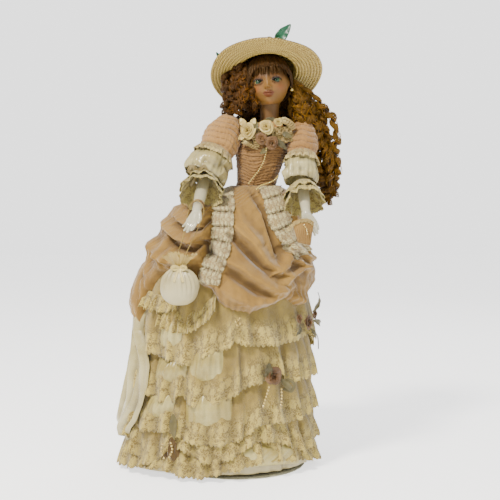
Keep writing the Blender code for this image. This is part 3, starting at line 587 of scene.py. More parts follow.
def spread(grid, reach, wrap):
    """The grid averaged over windows of reach rows and columns."""
    for axis, size in enumerate(reach):
        pad = [(0, 0), (0, 0)]
        pad[axis] = (size, size)
        wide = np.pad(grid, pad, mode="wrap" if wrap and axis == 1 else "edge")
        total = np.cumsum(np.insert(wide, 0, 0, axis=axis), axis=axis)
        count = grid.shape[axis]
        high = np.take(total, np.arange(2 * size + 1, 2 * size + 1 + count), axis=axis)
        grid = (high - np.take(total, np.arange(count), axis=axis)) / (2 * size + 1)
    return grid


def painted_fold_shade(height, reach, depth, dark=0.45, wrap=True, tint=(1.0, 0.93, 0.78)):
    """Painted shade for both faces of a creased cloth: darker and warmer in its hollows, with a faint painted highlight
    on its crests.
    """
    rise = height - spread(spread(height, reach, wrap), reach, wrap)
    hollow = np.clip(-rise / depth, 0, 1)[..., None] * dark
    crest = 1 + 0.06 * np.clip(rise / depth, 0, 1)[..., None]
    tone = crest * (1 - hollow) * (1 - hollow * (1 - np.array(tint)))
    return np.concatenate([tone.reshape(-1, 3)] * 2)


# ---------------------------------------------------------------- the skirt's form

SKIRT = np.array(
    [
        (0.000, -0.163, 0.106, -0.102, 0.138),
        (0.050, -0.157, 0.104, -0.100, 0.130),
        (0.100, -0.147, 0.102, -0.099, 0.122),
        (0.150, -0.139, 0.101, -0.099, 0.116),
        (0.200, -0.136, 0.100, -0.100, 0.114),
        (0.250, -0.130, 0.098, -0.097, 0.112),
        (0.285, -0.117, 0.095, -0.090, 0.108),
        (0.320, -0.101, 0.091, -0.080, 0.098),
        (0.345, -0.085, 0.086, -0.066, 0.080),
        (0.362, -0.030, 0.075, -0.045, 0.050),
        (0.3725, -0.0035, 0.0535, -0.0235, 0.0275),
    ]
)


def skirt(angle, z, inset=0.0):
    """The skirt's outer form at an angle (0 is +X, -pi/2 the front) and height, moved in by inset."""
    angle, z, inset = np.broadcast_arrays(np.asarray(angle, float), np.asarray(z, float), np.asarray(inset, float))
    right, left, front, back = (np.interp(z, SKIRT[:, 0], SKIRT[:, i]) for i in range(1, 5))
    half = (left - right) / 2 - inset
    turn = smoothstep(np.sin(angle), -0.18, 0.18)
    deep = -front * (1 - turn) + back * turn - inset
    return np.stack([(left + right) / 2 + half * np.cos(angle), deep * np.sin(angle), z + 0 * half], -1)


def on_skirt(u, v, inset=0.0):
    """(angle, z) of the skirt point that shows at (u, v) of the picture."""
    u, v = np.asarray(u, float), np.asarray(v, float)
    y = np.full(u.shape, -0.09)
    for _ in range(30):
        place = seen(u, v, y)
        z = np.clip(place[..., 2], 0, 0.3725)
        right, left, front = (np.interp(z, SKIRT[:, 0], SKIRT[:, i]) for i in (1, 2, 3))
        half = (left - right) / 2 - inset
        cosine = np.clip((place[..., 0] - (left + right) / 2) / half, -1, 1)
        y = 0.5 * y + 0.5 * (front + inset) * np.sqrt(1 - cosine**2)
    return -np.arccos(cosine), z


def edge_line(front, back, inset=0.0):
    """Height of an edge against the angle: picture points across the front, then (angle, z) round the back."""
    points = np.array(front, float)
    angle, z = on_skirt(points[:, 0], points[:, 1], inset)
    rest = np.array(back, float)
    angle = np.concatenate([angle, rest[:, 0]])
    z = np.concatenate([z, rest[:, 1]])
    order = np.argsort(angle)
    angle, z = angle[order], z[order]
    angle = np.concatenate([angle - 2 * math.pi, angle, angle + 2 * math.pi])
    z = np.tile(z, 3)
    return lambda at: np.interp(at, angle, z)


def swags(low, high, count, start=0.1, end=math.pi - 0.1):
    """Back of an edge line: festoons hanging from high to low."""
    at = np.linspace(start, end, count * 8 + 1)
    return [(a, high - (high - low) * abs(math.sin((a - start) / (end - start) * math.pi * count))) for a in at]


TIER_EDGES = [
    edge_line(
        [(150, 352), (160, 356), (172, 362), (188, 364.5), (197, 361), (206, 356), (218, 352), (229, 348), (235, 341),
         (245, 344), (255, 345), (268, 345), (281.5, 344), (292, 340), (299, 337), (307, 334)],
        swags(0.150, 0.170, 6),
    ),
    edge_line(
        [(146, 392), (158, 399), (172, 401), (182, 394), (187, 402), (196, 406), (204.6, 406), (218, 403), (229, 399),
         (242, 390), (252, 383), (261, 382), (270, 377), (279, 371), (285, 377), (292, 381), (305, 378), (317, 371)],
        swags(0.104, 0.122, 6, 0.2, math.pi - 0.2),
    ),
    edge_line(
        [(139, 428), (152, 431), (165, 430), (178, 436), (190, 443), (205, 446), (220, 445), (238, 441), (251, 432),
         (258, 425), (266, 423), (275, 422), (288, 421), (301, 418), (309, 411), (316, 403)],
        swags(0.062, 0.080, 6),
    ),
    edge_line(
        [(127, 432), (133, 452), (142, 462), (155, 463), (166, 452), (180, 447), (192, 455), (205, 463), (220, 462),
         (238, 455), (248.5, 446), (260, 441), (272, 440), (285, 444), (296, 449), (305, 452), (313, 438.5)],
        swags(0.030, 0.046, 6, 0.2, math.pi - 0.2),
    ),
    edge_line(
        [(118, 461), (125, 464.6), (146, 467), (165, 469), (179, 475), (199, 477), (215, 475), (233.5, 470), (246, 466.5),
         (262, 461), (284, 460), (302, 459)],
        [(0.05, 0.006), (0.6, 0.0035), (1.6, 0.003), (2.6, 0.003), (3.1, 0.004)],
    ),
]


def under_train(at):
    """1 where the satin train lies over the tiers, from the doll's right side round to the back."""
    at = np.where(at > 0, at - 2 * math.pi, at)
    return smoothstep(-at, 2.96, 3.10) * smoothstep(at, -4.56, -4.42)


def ruffle(name, edge, head, insets, seed, body="doll", node=None, waves=52, swell=0.0036, rows=22, cols=1400,
           span=(-math.pi, math.pi), scallop=0.0085):
    """A gathered lace tier round the skirt: heading line, flaring to a scalloped hem, waves growing downwards."""
    whole = span[1] - span[0] > 6.2
    at = np.linspace(span[0], span[1], cols, endpoint=not whole)
    s = np.linspace(0, 1, rows)[:, None]  # 0 at the hem
    rng = np.random.default_rng(seed)
    low, high = edge(at), head(at)
    hem = skirt(at, low, insets[0])
    closed = np.concatenate([hem, hem[:1]]) if whole else hem
    along = np.concatenate([[0], np.cumsum(np.linalg.norm(np.diff(closed, axis=0), axis=1))])
    length = along[-1]
    along = along[:cols]
    bend = np.cumsum(rng.uniform(0.65, 1.35, waves))
    bend = np.concatenate([[0], bend]) / bend[-1]
    phase = np.interp(along / length, bend, np.arange(waves + 1)) * 2 * math.pi
    tall = np.interp(np.arange(cols) / cols * waves, np.arange(waves), rng.uniform(0.55, 1.25, waves), period=waves)
    grow = (1 - s) ** 0.9
    wave = np.sin(phase + 0.9 * np.sin(s * 4 + tall * 5)) + 0.22 * np.sin(2 * phase + 3 * tall)
    belly = insets[0] + (insets[1] - insets[0]) * s**1.3
    flat_length = length * 1.45
    u = along / length * flat_length
    drop = np.abs(high - low)
    scallops = np.abs(np.sin(u * math.pi / scallop))
    z = low + (high - low) * s - 0.0024 * scallops * (1 - s) ** 6
    z = z + 0.0012 * rippled((rows, cols), seed + 5, (3, 60)) * grow
    inset = belly - swell * tall * wave * grow - 0.0012 * rippled((rows, cols), seed, (4, 44))
    inset = inset + 0.0075 * under_train(at)
    points = skirt(at, np.clip(z, 0.0008, 0.37), np.minimum(inset, 0.019))
    shift = grid_tangent(points, whole)
    points = points + shift * (swell * 0.35 * np.cos(phase) * grow * tall)[..., None]
    v = s * drop
    uv = np.stack(np.broadcast_arrays(u, v), -1)
    part = cloth(points[:, ::1], 0.0005, whole, uv)
    # the third value is painted shade in the hollows between the waves
    return points, part, painted_fold_shade(-inset, (2, cols // waves // 2), 0.0026, 0.42, whole)


def grid_tangent(points, wrap):
    across = np.roll(points, -1, 1) - np.roll(points, 1, 1) if wrap else np.gradient(points, axis=1)
    return across / np.maximum(np.linalg.norm(across, axis=-1, keepdims=True), 1e-12)


def make_tiers(lace_skin):
    tops = []
    for i, edge in enumerate(TIER_EDGES):
        above = (lambda at: np.minimum(OVER_HEM(at) + 0.018, 0.290)) if i == 0 else (lambda at, e=TIER_EDGES[i - 1]: e(at) + 0.016)
        tops.append(above)
    insets = [(-0.0008, 0.0100)] * 5
    swell = [0.0038, 0.0040, 0.0040, 0.0038, 0.0040]
    for i, edge in enumerate(TIER_EDGES):
        points, part, wave_shade = ruffle(
            f"tier_{i + 1}", edge, tops[i], insets[i], 11 + i, waves=25 + 2 * i, swell=swell[i]
        )
        tier = piece(f"tier_{i + 1}", part, lace_skin, "doll", [f"lace_flounce_{i + 1}"], wave_shade)
    # the short flounces that show under the overskirt at the doll's right
    for k, (route, above, drop) in enumerate((
        ([(139, 300), (147, 307), (158, 311), (170, 311), (179, 306)], 0.020, 0.0010),
        ([(158, 322), (166, 328), (178, 332), (190, 331), (200, 326), (209, 318), (215, 310)], 0.024, 0.0022),
    )):
        angle, z = on_skirt(np.array(route, float)[:, 0], np.array(route, float)[:, 1])
        edge = lambda at, a=angle, h=z: np.interp(at, a, h)
        points, part, wave_shade = ruffle(
            f"short_flounce_{k + 1}", edge, lambda at, e=edge, up=above: e(at) + up, (-0.0020 - drop, 0.0048), 31 + k, waves=7 + 2 * k,
            swell=0.0026, rows=22, cols=320, span=(float(angle[0]), float(angle[-1]))
        )
        short = piece(f"short_flounce_{k + 1}", part, lace_skin, "doll", paint=wave_shade)


def make_satin_puffs(satin_skin, gap_shade_skin):
    """Bulges of the white satin lining between the tiers, and a dark brown sheet of painted shade in one deep gap of
    the lace.
    """
    for k, (corners, swell, lean) in enumerate((
        ([(190, 347), (222, 345), (184, 384), (226, 383)], 0.0066, 0.3),
        ([(186, 394), (232, 391), (181, 430), (234, 428)], 0.0058, -0.2),
        ([(160, 318), (186, 317), (154, 350), (186, 350)], 0.0056, 0.2),
        ([(148, 390), (174, 393), (138, 418), (170, 420)], 0.0048, 0.2),
        ([(156, 358), (186, 360), (148, 383), (184, 386)], 0.0048, 0.1),
        ([(236, 449), (306, 441), (234, 470), (304, 464)], 0.0030, 0.9),
        ([(160, 435), (179, 437), (157, 463), (181, 465)], 0.0042, 0.6),
    # the seventh is a dark brown sheet: painted shade in the deep gap where the lace opens
    )):
        rows, cols = 60, 110
        s, t = np.linspace(0, 1, rows)[:, None], np.linspace(0, 1, cols)[None]
        c = np.array(corners, float)
        spot = ((c[2] * (1 - s)[..., None] + c[0] * s[..., None]) * (1 - t)[..., None]
                + (c[3] * (1 - s)[..., None] + c[1] * s[..., None]) * t[..., None])
        angle, z = on_skirt(spot[..., 0], spot[..., 1])
        dome = np.sin(np.clip(s, 0, 1) * math.pi) ** 0.85 * np.sin(t * math.pi) ** 0.8
        fold = 0.0013 * np.sin(2 * math.pi * (3.5 * t + lean * s) + k) + 0.0008 * np.sin(2 * math.pi * (7 * t - lean * 2 * s) + 2)
        fold = fold + 0.0008 * rippled((rows, cols), 200 + k, (4, 8))
        points = skirt(angle, np.clip(z, 0.002, 0.37), 0.0066 - dome * (swell + 0.0050) - fold * dome)
        uv = np.stack(np.broadcast_arrays(t * 0.04, s * 0.03), -1)
        made = piece(f"satin_puff_{k + 1}", cloth(points, 0.0005, False, uv), gap_shade_skin if k == 6 else satin_skin, "doll")


def make_underskirt(satin_skin, muslin_skin):
    """White satin under the lace, the stiff petticoat inside it."""
    cols, rows = 900, 90
    at = np.linspace(-math.pi, math.pi, cols, endpoint=False)
    z = np.linspace(0.006, 0.368, rows)[:, None]
    rng = np.random.default_rng(3)
    wave = np.zeros((rows, cols))
    for k, size in ((19, 0.0011), (31, 0.0009), (47, 0.0005)):
        turn = rng.uniform(0, 6.3)
        wave += size * np.sin(k * at + turn + 1.4 * np.sin(z * 16 + turn) + 2 * np.sin(at * 2 + turn))
    wave *= smoothstep(0.365 - z, 0, 0.1)
    inset = 0.0115 - wave - 0.0006 * rippled((rows, cols), 8, (16, 60)) + 0.0025 * smoothstep(z, 0.30, 0.36)
    points = skirt(at, z, inset)
    uv = np.stack(np.broadcast_arrays(at * 0.11, z), -1)
    made = piece("satin_skirt", cloth(points, 0.0006, True, uv), satin_skin, "doll", ["underskirt"])

    cols, rows = 420, 60
    at = np.linspace(-math.pi, math.pi, cols, endpoint=False)
    z = np.linspace(0.010, 0.362, rows)[:, None]
    inset = 0.0168 + 0.0012 * np.sin(26 * at + 2 * np.sin(9 * z)) * smoothstep(0.36 - z, 0, 0.08)
    inset = inset - 0.010 * smoothstep(z, 0.352, 0.362)
    points = skirt(at, z, inset + 0 * at)
    made = piece("stiff_petticoat", cloth(points, 0.0006, True, np.stack(np.broadcast_arrays(at * 0.11, z), -1)),
                 muslin_skin, "doll", ["petticoat"])


# ---------------------------------------------------------------- the train and the overskirt


def make_train(satin_skin):
    """The white satin train over the lace at the doll's right side and back, in long soft folds."""
    cols, rows = 560, 120
    front_px = [(141, 330), (146, 345), (151, 366), (150, 385), (146, 404), (139, 420), (127, 437)]
    edge = np.array([on_skirt(u, v, 0.0) for u, v in front_px])
    s = np.linspace(0, 1, rows)[:, None]
    t = np.linspace(0, 1, cols)[None]
    z_low = 0.037 - 0.012 * smoothstep(t, 0.35, 0.7) + 0.004 * np.sin(9 * t) + 0.11 * smoothstep(t, 0.74, 1) ** 2
    z_high = 0.236 + 0.008 * smoothstep(t, 0.2, 1)
    z = z_low + (z_high - z_low) * s
    begin = np.interp(z, edge[::-1, 1], edge[::-1, 0])
    finish = begin * 0 - math.pi * 1.42
    at = begin + (finish - begin) * t
    rng = np.random.default_rng(5)
    fold = np.zeros((rows, cols))
    for k, size, lean in ((6.5, 0.0034, 1.6), (10.5, 0.0024, -2.6), (17, 0.0010, 3.5)):
        fold += size * np.sin(2 * math.pi * (k * t + lean * (1 - s) * 0.35) + rng.uniform(0, 6))
    fold += 0.0012 * rippled((rows, cols), 14, (7, 16))
    inset = -0.0030 - fold * (0.45 + 0.55 * (1 - s)) - 0.002 * (1 - s) + 0.004 * smoothstep(-t, -0.06, 0.0)
    inset = inset + 0.0085 * smoothstep(z, 0.196, 0.226) + 0.0090 * smoothstep(-z, -0.060, -0.034)
    points = skirt(at, z, inset)
    points = points[:, ::-1]
    uv = np.stack(np.broadcast_arrays(t[:, ::-1] * 0.16, s * 0.18), -1)
    # painted shade in the hollows of its folds, painted highlight on the crests
    made = piece("satin_train", cloth(points, 0.0006, False, uv), satin_skin, "doll",
                 paint=painted_fold_shade(-inset[:, ::-1], (6, 18), 0.0030, 0.50, False, (1.0, 0.97, 0.9)))


OVER_HEM = edge_line(
    [(137, 328), (138.5, 312), (142, 296), (150, 282), (162, 271), (175, 274), (190, 282), (201, 288), (210, 291),
     (219, 305), (226, 310), (234, 313.5), (251, 315.5), (261, 313), (270, 309.5), (280, 305), (289, 300.5),
     (296, 304), (303, 308), (309, 300), (312, 291)],
    [(0.15, 0.236), (0.5, 0.222), (1.0, 0.208), (1.35, 0.226), (1.57, 0.236), (1.8, 0.226), (2.15, 0.206),
     (2.6, 0.208), (2.95, 0.196)],
    -0.004,
)


def ridge(u, v, line, width, height):
    """Height at picture points of a soft fold along a line of (u, v), tapered to its ends."""
    line = np.array(line, float)
    best = np.full(u.shape, 1e9)
    where = np.zeros(u.shape)
    step = np.concatenate([[0], np.cumsum(np.linalg.norm(np.diff(line, axis=0), axis=1))])
    for k in range(len(line) - 1):
        a, b = line[k], line[k + 1]
        d = b - a
        t = np.clip(((u - a[0]) * d[0] + (v - a[1]) * d[1]) / (d @ d), 0, 1)
        gap = np.hypot(u - a[0] - t * d[0], v - a[1] - t * d[1])
        below = ((u - a[0]) * -d[1] + (v - a[1]) * d[0]) * (1 if d[0] >= 0 else -1) > 0
        gap = gap * np.where(below, 1.5, 0.68)
        nearer = gap < best
        best = np.where(nearer, gap, best)
        where = np.where(nearer, (step[k] + t * (step[k + 1] - step[k])) / step[-1], where)
    taper = np.sin(np.clip(where, 0, 1) * math.pi) ** 0.5
    return height * taper * np.exp(-((best / width) ** 2))


RIDGES = [
    # the big swag folds of the centre panel
    ([(228, 212), (233.7, 224.4), (241, 233), (250.7, 241.4), (258, 252), (265, 263.7), (275.6, 270.8), (283.4, 265),
      (288.6, 246.7), (286, 232)], 5.0, 0.0052),
    ([(216, 240), (220.7, 254.5), (230, 262), (241.6, 268.9), (250, 276), (258.6, 282), (270.3, 289.8), (281, 290),
      (292, 283)], 6.0, 0.0055),
    ([(280, 285), (282, 279.3), (292, 272), (303, 263.7), (308, 255)], 4.5, 0.0045),
    ([(222, 285), (233, 296), (250, 304), (268, 301), (284, 293)], 7.0, 0.0040),
    ([(236, 205), (242, 222), (254, 236), (262, 246)], 3.5, 0.0026),
    # the swag from the left rungs to the side
    ([(163, 219), (168.4, 228.4), (180, 238), (193, 242.7), (203, 235), (211.5, 223)], 4.5, 0.0048),
    ([(152, 238), (160, 252), (174, 262), (190, 263), (203, 256)], 5.0, 0.0046),
    ([(172, 212), (184, 222), (198, 226), (212, 213)], 3.5, 0.0034),
    ([(180, 200), (194, 208), (207, 210), (215, 202)], 3.0, 0.0026),
    ([(190, 190), (202, 196), (216, 191)], 2.6, 0.0020),
    ([(169.7, 232), (167, 250), (163, 271.5)], 3.0, 0.0034),
    ([(159, 236), (155, 252), (148, 275)], 3.2, 0.0036),
    ([(176, 246), (172, 262), (168, 272)], 3.0, 0.0026),
    ([(146, 262), (141, 290), (138, 318)], 3.5, 0.0030),
    # crumples on the doll's left
    ([(290, 246), (299, 252), (306, 262)], 2.6, 0.0034),
    ([(286, 258), (296, 262), (307, 272)], 2.6, 0.0032),
    ([(296, 240), (304, 248), (310, 262)], 2.4, 0.0026),
    ([(292, 296), (300, 303), (307, 297)], 3.0, 0.0026),
    ([(284, 200), (292, 212), (297, 226)], 3.0, 0.0024),
    ([(288, 188), (296, 200), (301, 214)], 3.0, 0.0024),
    ([(204, 270), (206, 280), (212, 288)], 3.0, 0.0026),
    # hollows
    ([(245, 186), (254, 199), (264, 212), (272, 236), (279, 262)], 3.0, -0.0042),
    ([(226, 232), (240, 248), (254, 262), (268, 275)], 3.6, -0.0042),
    ([(224, 272), (240, 283), (256, 294), (272, 297)], 3.6, -0.0036),
    ([(277, 254), (283, 252), (286, 244)], 4.0, -0.0050),
    ([(205, 240), (208, 250), (211, 258)], 4.0, -0.0055),
    ([(166, 236), (178, 248), (194, 252), (206, 240)], 3.2, -0.0034),
    ([(174, 224), (186, 231), (202, 230), (212, 218)], 2.4, -0.0030),
    ([(182, 207), (196, 214), (212, 207)], 2.0, -0.0024),
    ([(286, 272), (296, 266), (306, 260)], 2.6, -0.0028),
]


def overskirt_lift(u, v, front):
    """The folds of the overskirt's front as a height, from picture coordinates."""
    lift = np.zeros(u.shape)
    for line, width, height in RIDGES:
        lift += ridge(u, v, line, width * 0.95, height * (2.5 if height > 0 else 2.4))
    return lift * front


def overskirt_point(at, s, seed=21):
    """Points of the overskirt for a grid of angles and s, 0 at the tucked hem and 1 at the waist."""
    low = OVER_HEM(at) + 0 * s
    z = low + (0.3725 - low) * s
    base = skirt(at, z, 0.0)
    uv = picture(base)
    front = smoothstep(-np.sin(at), -0.25, 0.15) + 0 * s
    lift = overskirt_lift(uv[..., 0], uv[..., 1], front)
    back = 1 - front
    swing = np.zeros(z.shape)
    for k in range(5):
        line = 0.345 - 0.030 * k
        sag = line - 0.030 * np.abs(np.sin((at - math.pi / 2) * 1.5)) + 0.004 * np.sin(k + at * 3)
        swing += (0.0052 - 0.0004 * k) * np.exp(-(((z - sag) / 0.0085) ** 2))
    lift += (swing - 0.0015) * back
    grid = z.shape
    lift += 0.0009 * rippled(grid, seed, (16, 60)) + 0.0007 * rippled(grid, seed + 1, (34, 110))
    gather = np.sin(at * 44 + 2.2 * np.sin(at * 7) + 3 * s)
    lift += 0.0011 * gather * np.exp(-(((1 - s) / 0.17) ** 2)) * smoothstep(1.0 - s, 0, 0.03)
    gather_hem = np.sin(at * 70 + 3 * np.sin(at * 9))
    lift += 0.0010 * gather_hem * np.exp(-((s / 0.12) ** 2))
    pouf = 0.0055 * np.exp(-(((s - 0.16) / 0.15) ** 2)) * (0.6 + 0.4 * front)
    tuck = 0.0105 * np.exp(-((s / 0.035) ** 2))
    tight = smoothstep(z, 0.352, 0.3725)
    inset = (-(lift + pouf) * (1 - tight) + tuck - 0.0006 * tight)
    return skirt(at, z, inset), lift


def make_overskirt(chiffon_skin):
    cols, rows = 900, 150
    at = np.linspace(-math.pi, math.pi, cols, endpoint=False)[None]
    s = np.linspace(0, 1, rows)[:, None]
    points, lift = overskirt_point(at, s)
    uv = np.stack(np.broadcast_arrays(at * 0.11, s * 0.16), -1)
    # painted shade, darker and warmer, in the hollows of its folds
    made = piece("chiffon_overskirt", cloth(points, 0.0006, True, uv), chiffon_skin, "doll", ["overskirt"],
                 painted_fold_shade(lift, (7, 14), 0.0042, 0.50, True, (1.0, 0.90, 0.70)))


LADDER_LEFT = [(224.5, 182), (224.5, 190), (224.5, 205), (223.5, 219), (223, 232), (220.5, 246), (215.5, 262), (211, 275), (210, 284)]
LADDER_RIGHT = [(267, 182), (270, 190), (273.5, 201), (277.5, 213), (281, 224), (288, 236), (294, 246), (300, 254)]


def make_ladders(ladder_skin):
    """Bands of gathered lace down the overskirt, puffed into rungs between their gathers."""
    for name, route, width, rungs in (
        ("ladder_lace_right", LADDER_LEFT, 21, 7),
        ("ladder_lace_left", LADDER_RIGHT, 20, 5),
    ):
        cols, rows = 90, rungs * 26 + 1
        path = evenly(smooth_path(route, 200), rows)
        along = np.gradient(path, axis=0)
        along /= np.linalg.norm(along, axis=1, keepdims=True)
        side = np.stack([-along[:, 1], along[:, 0]], -1)
        side *= np.sign(side[:, :1])
        t = np.linspace(-1, 1, cols)[None]
        s = np.linspace(0, rungs, rows)[:, None]
        rung = np.abs(np.sin(s * math.pi))
        wide = width / 2 * (0.84 + 0.16 * rung**0.4) * (1 + 0.05 * np.abs(np.sin(s * math.pi * 4)))
        uv = path[:, None] + side[:, None] * (t * wide)[..., None]
        angle, z = on_skirt(uv[..., 0], uv[..., 1])
        order = np.clip((z - OVER_HEM(angle)) / (0.3725 - OVER_HEM(angle)), 0.02, 1)
        base = skirt(angle, z, 0.0)
        lift = overskirt_lift(uv[..., 0], uv[..., 1], 1.0) * (1 - smoothstep(z, 0.352, 0.3725))
        pouf = 0.0055 * np.exp(-(((order - 0.16) / 0.15) ** 2))
        puff = 0.0046 * rung**0.5 * (1 - 0.55 * t**4)
        pleat = 0.0007 * np.sin(t * 22 + 1.5 * np.sin(s * 5)) * (1 - rung) ** 0.8
        frill = 0.0012 * np.sin(s * math.pi * 6 + t) * np.abs(t) ** 4
        puff = puff * (0.35 + 0.65 * smoothstep(rungs - s, 0.2, 1.8))
        height = 0.0016 + lift + pouf + puff + pleat + frill + 0.0005 * rippled((rows, cols), 31, (rungs * 4, 12))
        points = skirt(angle, z, -height)
        points = points[::-1]
        flat = np.stack(np.broadcast_arrays(t * 0.017 + 0.05, 0.0046 + 0.0080 * (1 - np.abs(2 * (s % 1) - 1))), -1)[::-1]
        verts = cloth(points, 0.0004, False, flat)
        # painted shade at the gathers between the rungs
        made = piece(name, verts, ladder_skin, "doll", paint=painted_fold_shade(height[::-1], (7, 3), 0.0016, 0.50, False))


# ---------------------------------------------------------------- beads, roses and leaves


def beads(path, radius, gap=1.02, thread=0.00022, sides=12):
    """Round beads side by side on a thread along the path."""
    count = max(2, int(path_length(path) / (2 * radius * gap)) + 1)
    spots = evenly(path, count)
    ball = lathe([(radius * math.sin(a), -radius * math.cos(a)) for a in np.linspace(0, math.pi, 9)], sides)
    parts = [(ball[0] + spot, ball[1], None) for spot in spots]
    parts.append(tubes(evenly(path, count * 3)[None], thread, 5))
    return joined(*parts)


def facing(normal):
    """Two unit vectors across a direction."""
    normal = np.asarray(normal, float) / np.linalg.norm(normal)
    side = np.cross(normal, (0.0, 0.0, 1.0)) if abs(normal[2]) < 0.9 else np.cross(normal, (1.0, 0, 0))
    side /= np.linalg.norm(side)
    return normal, side, np.cross(side, normal)


def rose(centre, normal, size, petals=13, seed=0):
    """A ribbon rose: petals wrapped round each other in a spiral, their lips curled out."""
    rng = np.random.default_rng(seed)
    normal, side, up = facing(normal)
    parts = []
    for k in range(petals):
        grow = (k + 0.6) / petals
        turn = k * 2.399 + rng.uniform(-0.2, 0.2)
        radius = size * (0.10 + 0.66 * grow)
        tall = size * (0.86 - 0.42 * grow) * rng.uniform(0.92, 1.08)
        spread = 1.25 - 0.25 * grow
        a = np.linspace(-1, 1, 17)[None]
        b = np.linspace(0, 1, 12)[:, None]
        round_off = 1 - 0.30 * a**2 * b
        lip = smoothstep(b, 0.62, 1.0)
        r = radius * (0.45 + 0.62 * b**0.8) + size * (0.10 + 0.20 * grow) * lip * (1 + 0.25 * np.sin(3 * a + k))
        h = size * 0.05 + tall * (b * round_off) - size * 0.16 * lip**2 * grow
        angle = turn + a * spread
        points = (
            np.asarray(centre)
            + side * (r * np.cos(angle))[..., None]
            + up * (r * np.sin(angle))[..., None]
            + normal * (h + 0 * a)[..., None]
        )
        uv = np.stack(np.broadcast_arrays(a * size, b * size), -1)
        parts.append(cloth(points, 0.00035, False, uv))
    return joined(*parts)


def leaf(root, tip, normal, width, bend=0.15, fold=0.25):
    """A pointed ribbon leaf from root to tip, creased along its middle."""
    root, tip = np.asarray(root, float), np.asarray(tip, float)
    along = tip - root
    long = np.linalg.norm(along)
    side = np.cross(along, normal)
    side /= np.linalg.norm(side)
    normal = np.cross(side, along)
    normal /= np.linalg.norm(normal)
    s = np.linspace(0.02, 0.985, 26)[:, None]
    t = np.linspace(-1, 1, 11)[None]
    half = width / 2 * np.sin(s**0.8 * math.pi) ** 0.8
    rise = long * bend * np.sin(s * math.pi) + half * fold * np.abs(t) + width * 0.05 * np.sin(s * 22) * np.abs(t)
    points = root + along * (s + 0 * t)[..., None] + side * (half * t)[..., None] + normal * rise[..., None]
    return cloth(points, 0.0004, False, np.stack(np.broadcast_arrays(t * width, s * long), -1))


def ribbon(path, width, normal, thickness=0.0004, curl=0.0, cols=7):
    """A flat ribbon along a path, its face towards normal (one vector, or one for each point)."""
    path = np.asarray(path, float)
    along = np.gradient(path, axis=0)
    along /= np.linalg.norm(along, axis=1, keepdims=True)
    normal = np.broadcast_to(np.asarray(normal, float), path.shape)
    side = np.cross(along, normal)
    side /= np.maximum(np.linalg.norm(side, axis=1, keepdims=True), 1e-9)
    up = np.cross(side, along)
    t = np.linspace(-1, 1, cols)[None]
    width = np.broadcast_to(np.asarray(width, float), (len(path),))[:, None]
    points = path[:, None] + side[:, None] * (t * width / 2)[..., None] + up[:, None] * (curl * width * t**2)[..., None]
    step = np.concatenate([[0], np.cumsum(np.linalg.norm(np.diff(path, axis=0), axis=1))])[:, None]
    return cloth(points, thickness, False, np.stack(np.broadcast_arrays(t * width / 2, step), -1))


def front_at(u, v, y):
    return seen(u, v, y)


def skirt_at(u, v, out=0.0):
    """The skirt's front at a picture point, and its outward direction."""
    angle, z = on_skirt(u, v)
    a, b, c = skirt(angle, z, -out), skirt(angle + 0.02, z, -out), skirt(angle, z + 0.004, -out)
    normal = np.cross(b - a, c - a)
    return a, normal / np.linalg.norm(normal)


# ---------------------------------------------------------------- the bodice and its trims

SPINE_Z = np.array([0.295, 0.345, 0.376, 0.415, 0.440, 0.4545])
SPINE_X = np.array([0.010, 0.018, 0.025, 0.031, 0.038, 0.042])
SPINE_Y = np.array([0.0, 0.0, 0.0, 0.0, 0.002, 0.003])
BODICE = np.array(
    [(0.356, 0.0262, 0.0215), (0.364, 0.0246, 0.0196), (0.378, 0.0251, 0.0198), (0.395, 0.0278, 0.0210),
     (0.414, 0.0324, 0.0227), (0.430, 0.0318, 0.0227), (0.440, 0.0291, 0.0217), (0.446, 0.0275, 0.0200)]
)


def bodice_at(angle, z, out=0.0):
    half, deep = np.interp(z, BODICE[:, 0], BODICE[:, 1]), np.interp(z, BODICE[:, 0], BODICE[:, 2])
    x, y = np.interp(z, SPINE_Z, SPINE_X), np.interp(z, SPINE_Z, SPINE_Y)
    return np.stack([x + (half + out) * np.cos(angle), y + (deep + out) * np.sin(angle), z + 0 * angle], -1)


def make_bodice(chiffon_skin):
    """Ruched chiffon in horizontal folds, its waist coming to a point in front."""
    cols, rows = 420, 170
    at = np.linspace(-math.pi, math.pi, cols, endpoint=False)[None]
    s = np.linspace(0, 1, rows)[:, None]
    front = np.exp(-(((at + math.pi / 2 + 0.15) / 0.34) ** 2))
    low = 0.3685 - 0.0095 * front
    top = 0.4400 - 0.0010 * front + 0.002 * np.cos(2 * at)
    z = low + (top - low) * s
    wander = 0.0035 * rippled((rows, cols), 41, (6, 9)) + 0.0016 * np.sin(3 * at + 1) + 0.003 * front * (1 - s)
    height = z + wander
    folds = np.abs(np.sin(height * math.pi / 0.0040)) ** 0.6 + 0.4 * np.abs(np.sin(height * math.pi / 0.0023 + 2 * at))
    size = 0.0014 * (0.75 + 0.35 * rippled((rows, cols), 43, (10, 24)))
    ends = smoothstep(s, 0, 0.03) * smoothstep(1 - s, 0, 0.03)
    out = size * folds * ends + 0.0004 * rippled((rows, cols), 44, (40, 90))
    points = bodice_at(at, z, out + 0.0002)
    uv = np.stack(np.broadcast_arrays(at * 0.03, z), -1)
    # painted shade in the hollows of the ruching, times a darker tint for the whole bodice
    made = piece("ruched_bodice", cloth(points, 0.0005, True, uv), chiffon_skin, "doll", ["bodice"],
                 painted_fold_shade(out, (6, 6), 0.0006, 0.45, True, (1.0, 0.90, 0.70)) * (0.66, 0.62, 0.56))


